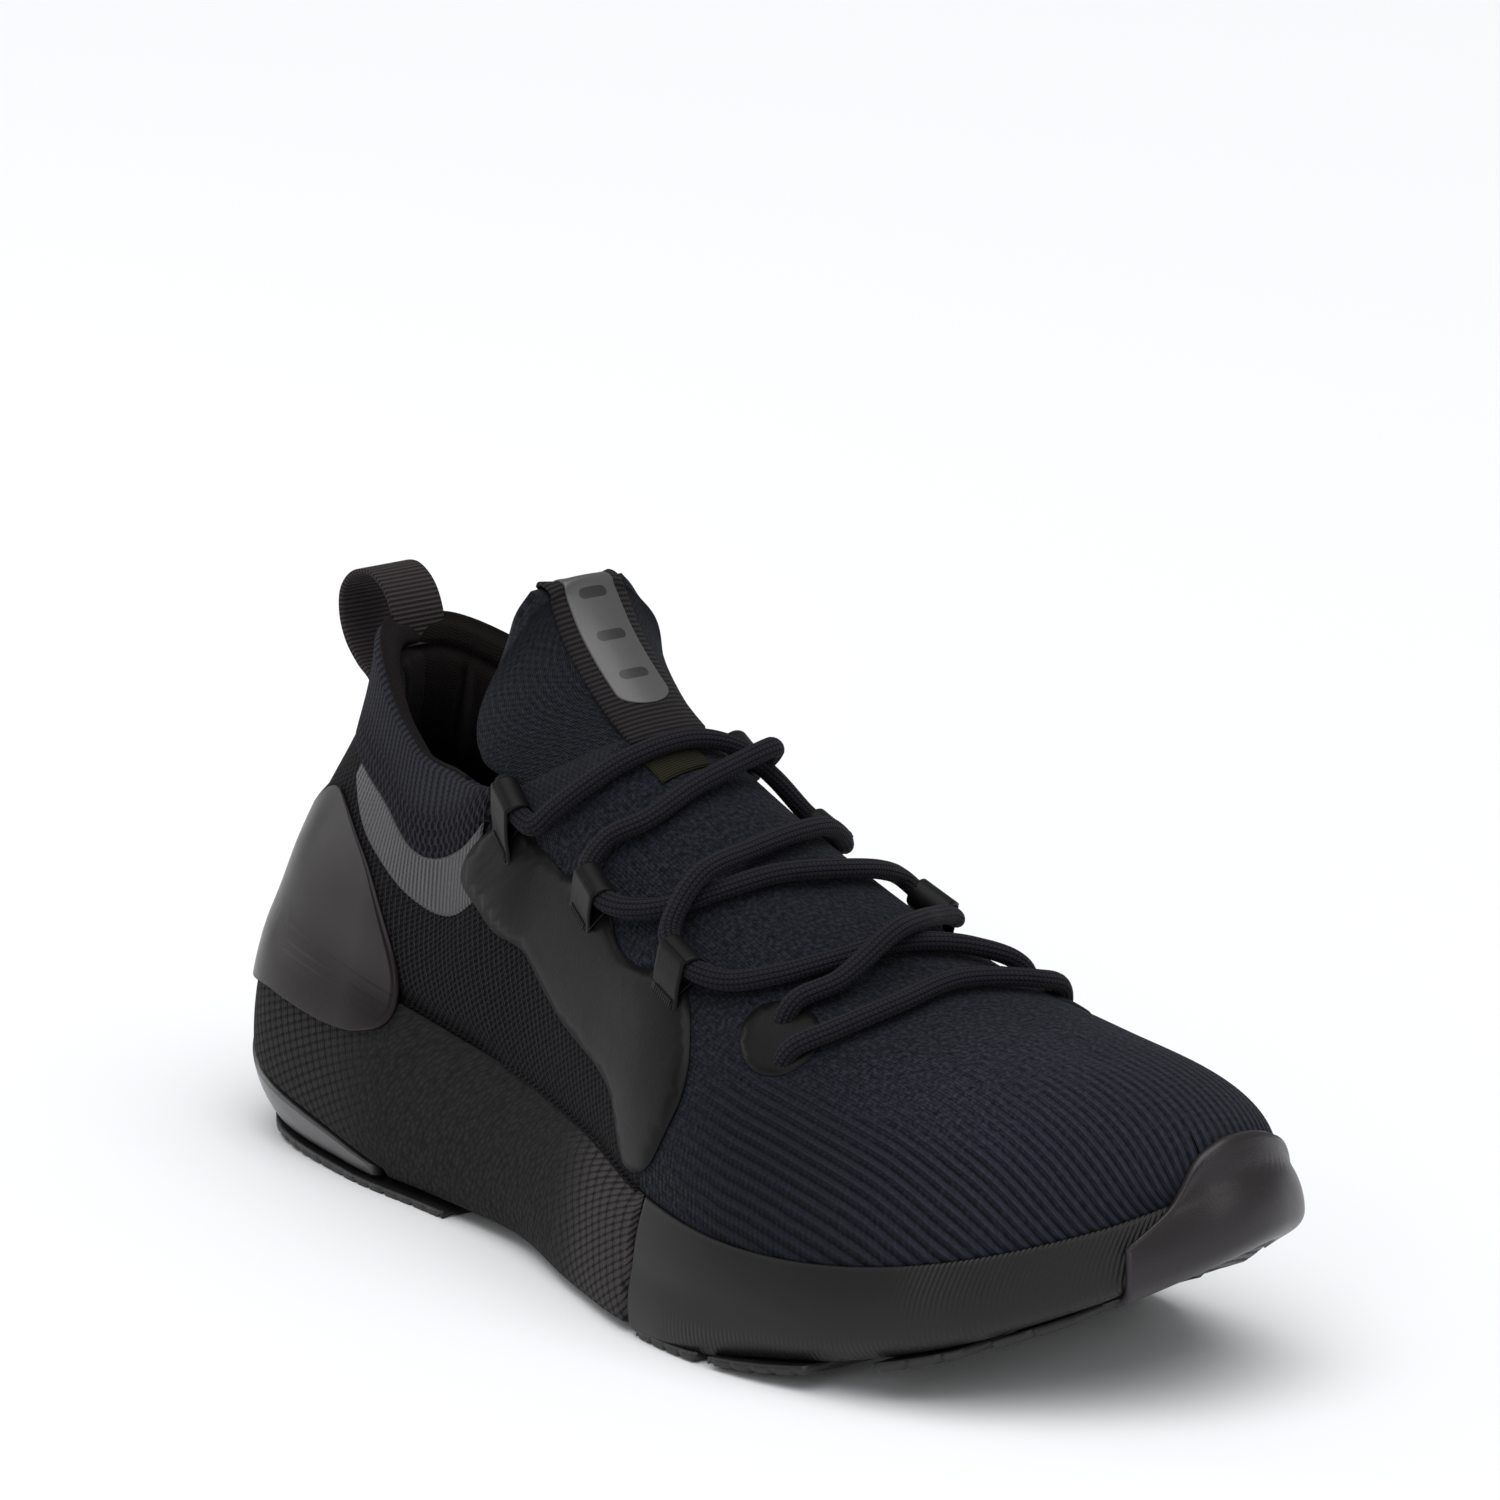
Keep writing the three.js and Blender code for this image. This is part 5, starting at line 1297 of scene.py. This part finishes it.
def tongue_tape():
    rows = np.concatenate([rimmed(0.17, 0.999, 60, 0.01), np.linspace(1.002, 1.058, 12),
                           np.linspace(1.062, 1.24, 12)])

    def place(y, t, k):
        return tape_point(y, t, TAPE_THICKNESS * k)

    def uv(y, t, outer):
        return arc_uv(outer)[..., ::-1]

    part("tongue_tape", (-TAPE_WIDTH / 2, TAPE_WIDTH / 2, 24, 0.4), rows, place, "tape", "webbing",
         "to_tongue", ("tongue_tape", "tongue_tape_base"), uv=uv, turned=True)


def reflective_strip():
    start, taper = 0.33, 0.075
    rounded = start + taper * (1 - np.cos(np.linspace(0.05, np.pi / 2, 16)))
    rows = np.concatenate([rounded, np.linspace(0.42, 0.999, 46), np.linspace(1.002, 1.05, 8)])

    def across(q, t):
        inset = np.clip((start + taper - t) / taper, 0, 1)
        return q * (STRIP_WIDTH / 2 * np.sqrt(1 - inset ** 2))

    def place(q, t, k):
        return tape_point(across(q, t), t, 0.95 + 0.35 * k)

    def uv(q, t, outer):
        plan = arc_uv(outer)
        return np.stack([across(q, t), np.broadcast_to(plan[len(plan) // 2, :, 1], q.shape)], -1)

    part("reflective_strip", (-1, 1, 20, 0.05), rows, place, "strip", "reflective", "to_tongue", uv=uv,
         turned=True)


def tongue_label():
    """Blank woven label under the lace's first run."""
    part("tongue_label", (5.25, 5.5, 12, 0.01), (-0.155, 0.045, 30, 0.01),
         lambda a, c, k: cape(a, c, 0.35 + 0.6 * k), "label", "webbing")


# ---------------------------------------------------------------- heel pull loop
# The free part of the pull loop, seen from the side, as x and z.
FREE_LOOP = [(24.5, 120.8), (21.4, 126), (15.6, 129), (9.2, 127.6), (4.8, 122.8), (4.4, 117), (6.6, 111.6),
             (11.2, 107), (16, 103.8)]


def pull_loop():
    """The strap's free part, from inside the collar over to the back of the heel."""
    path = np.array([(25.4, 113), *FREE_LOOP, (17.9, 99)], float)
    keys = np.concatenate([[0], np.cumsum(np.linalg.norm(np.diff(path, axis=0), axis=-1))])

    def place(y, t, k):
        flat = spline(keys, path, t)
        ahead = spline(keys, path, t + 0.1) - spline(keys, path, t - 0.1)
        out = unit(np.stack([-ahead[..., 1], ahead[..., 0]], -1))
        flat = flat + out * (STRAP_THICKNESS * (k - 0.5))[..., None]
        return np.stack([flat[..., 0], y, flat[..., 1]], -1)

    def uv(y, t, outer):
        return np.stack([t, y], -1)

    across = rimmed(-STRAP_WIDTH / 2, STRAP_WIDTH / 2, 16, 0.35)
    part("heel_pull_loop", across, (0, keys[-1], 150, 0.3), place, "strap", "webbing", "to_heel_loop",
         ("pull_loop_strand_front", "heel_pull_loop", "pull_loop_strand_rear"), uv=uv)


def pull_loop_ends():
    """The strap's two sewn ends."""
    def inner(w, s, k):
        return skin(w, 1 + s, -KNIT - 0.5 - 1.2 * k)

    def outer(w, s, k):
        return skin(w, 1 + s, 0.9 + 1.2 * k)

    def uv(w, s, points):
        return arc_uv(points)[..., ::-1]

    part("pull_loop_end_inside", (-0.62, 0.62, 20, 0.03), (0.84, 0.985, 30, 0.01), inner, "strap",
         "webbing", uv=uv, turned=True)
    part("pull_loop_end_outside", (-0.6, 0.6, 20, 0.03), (0.58, 0.72, 20, 0.01), outer, "strap",
         "webbing", uv=uv)


# ---------------------------------------------------------------- the shoe
midsole_foam()
mesh_wrap()
heel_crescent()
forefoot_casing()
outsole()
insole_sheet("strobel_board", 8.6, 0.0, 1.2, "board", "board", 0)
insole_sheet("sock_liner", 9.0, 1.5, 5.5, "lining", "lining", 3.0)
vamp()
collar()
lining()
for side_name, side in SIDES:
    quarter(side_name, side)
    gusset(side_name, side)
    throat_knit(side_name, side)
    film_band(side_name, side)
    eyestay(side_name, side)
    for number, ((a, c), tack) in enumerate(zip(LOOP_PLACES, BAR_TACKS), 1):
        lace_loop(f"lace_loop_{side_name}_{number}", a, side * c, tack)
for eyelet in EYELETS:
    eyelet_patch(*eyelet)
lace()
heel_clip()
toe_bumper()
tongue()
tongue_tape()
reflective_strip()
tongue_label()
pull_loop()
pull_loop_ends()

# ---------------------------------------------------------------- stage, light and camera
AZIMUTH, ELEVATION = math.radians(52.44), math.radians(15.44)
DISTANCE = 2.295                                   # in metres
TARGET = Vector(row((150, 0, 115.2)))
LENS, SENSOR = 250.08, 36.0


def stage():
    mesh = bpy.data.meshes.new("floor")
    size = 6.0
    corners = [(-size, -size, 0), (size, -size, 0), (size, size, 0), (-size, size, 0)]
    mesh.from_pydata(corners, [], [(0, 1, 2, 3)])
    material = bpy.data.materials.new("floor_paper")
    material.use_nodes = True
    shader = material.node_tree.nodes["Principled BSDF"]
    shader.inputs["Base Color"].default_value = (0.9, 0.91, 0.93, 1)
    shader.inputs["Roughness"].default_value = 0.6
    shader.inputs["Specular IOR Level"].default_value = 0.2
    mesh.materials.append(material)
    floor = bpy.data.objects.new("floor", mesh)
    bpy.context.scene.collection.objects.link(floor)


def area_light(name, place, size, power, color=(1, 1, 1)):
    data = bpy.data.lights.new(name, "AREA")
    data.shape = "RECTANGLE"
    data.size, data.size_y = size
    data.energy = power
    data.color = color
    light = bpy.data.objects.new(name, data)
    light.location = place
    light.rotation_euler = (Vector((0, 0, 0.06)) - Vector(place)).to_track_quat("-Z", "Y").to_euler()
    bpy.context.scene.collection.objects.link(light)


def lights():
    world = bpy.data.worlds.new("studio")
    world.use_nodes = True
    sky = world.node_tree.nodes["Background"]
    sky.inputs["Color"].default_value = (1, 1, 1, 1)
    sky.inputs["Strength"].default_value = 0.32
    bpy.context.scene.world = world
    overhead = bpy.data.lights.new("overhead", "SUN")
    overhead.energy = 2.45
    overhead.angle = math.radians(70)
    light = bpy.data.objects.new("overhead", overhead)
    light.rotation_euler = (math.radians(8), math.radians(12), 0)
    bpy.context.scene.collection.objects.link(light)
    area_light("side_softbox", (0.9, -1.3, 0.55), (0.5, 0.9), 3.5)
    area_light("rear_softbox", (-1.2, -0.5, 0.5), (0.4, 0.8), 2.5)
    area_light("toe_softbox", (1.3, 0.5, 0.6), (0.4, 0.6), 1.5)


def camera():
    data = bpy.data.cameras.new("camera")
    data.lens, data.sensor_width = LENS, SENSOR
    data.clip_end = 50
    back = Vector((math.sin(AZIMUTH) * math.cos(ELEVATION), -math.cos(AZIMUTH) * math.cos(ELEVATION),
                   math.sin(ELEVATION)))
    obj = bpy.data.objects.new("camera", data)
    obj.location = TARGET + back * DISTANCE
    obj.rotation_euler = (-back).to_track_quat("-Z", "Y").to_euler()
    bpy.context.scene.collection.objects.link(obj)
    bpy.context.scene.camera = obj


stage()
lights()
camera()
bpy.context.scene.view_settings.view_transform = "Standard"
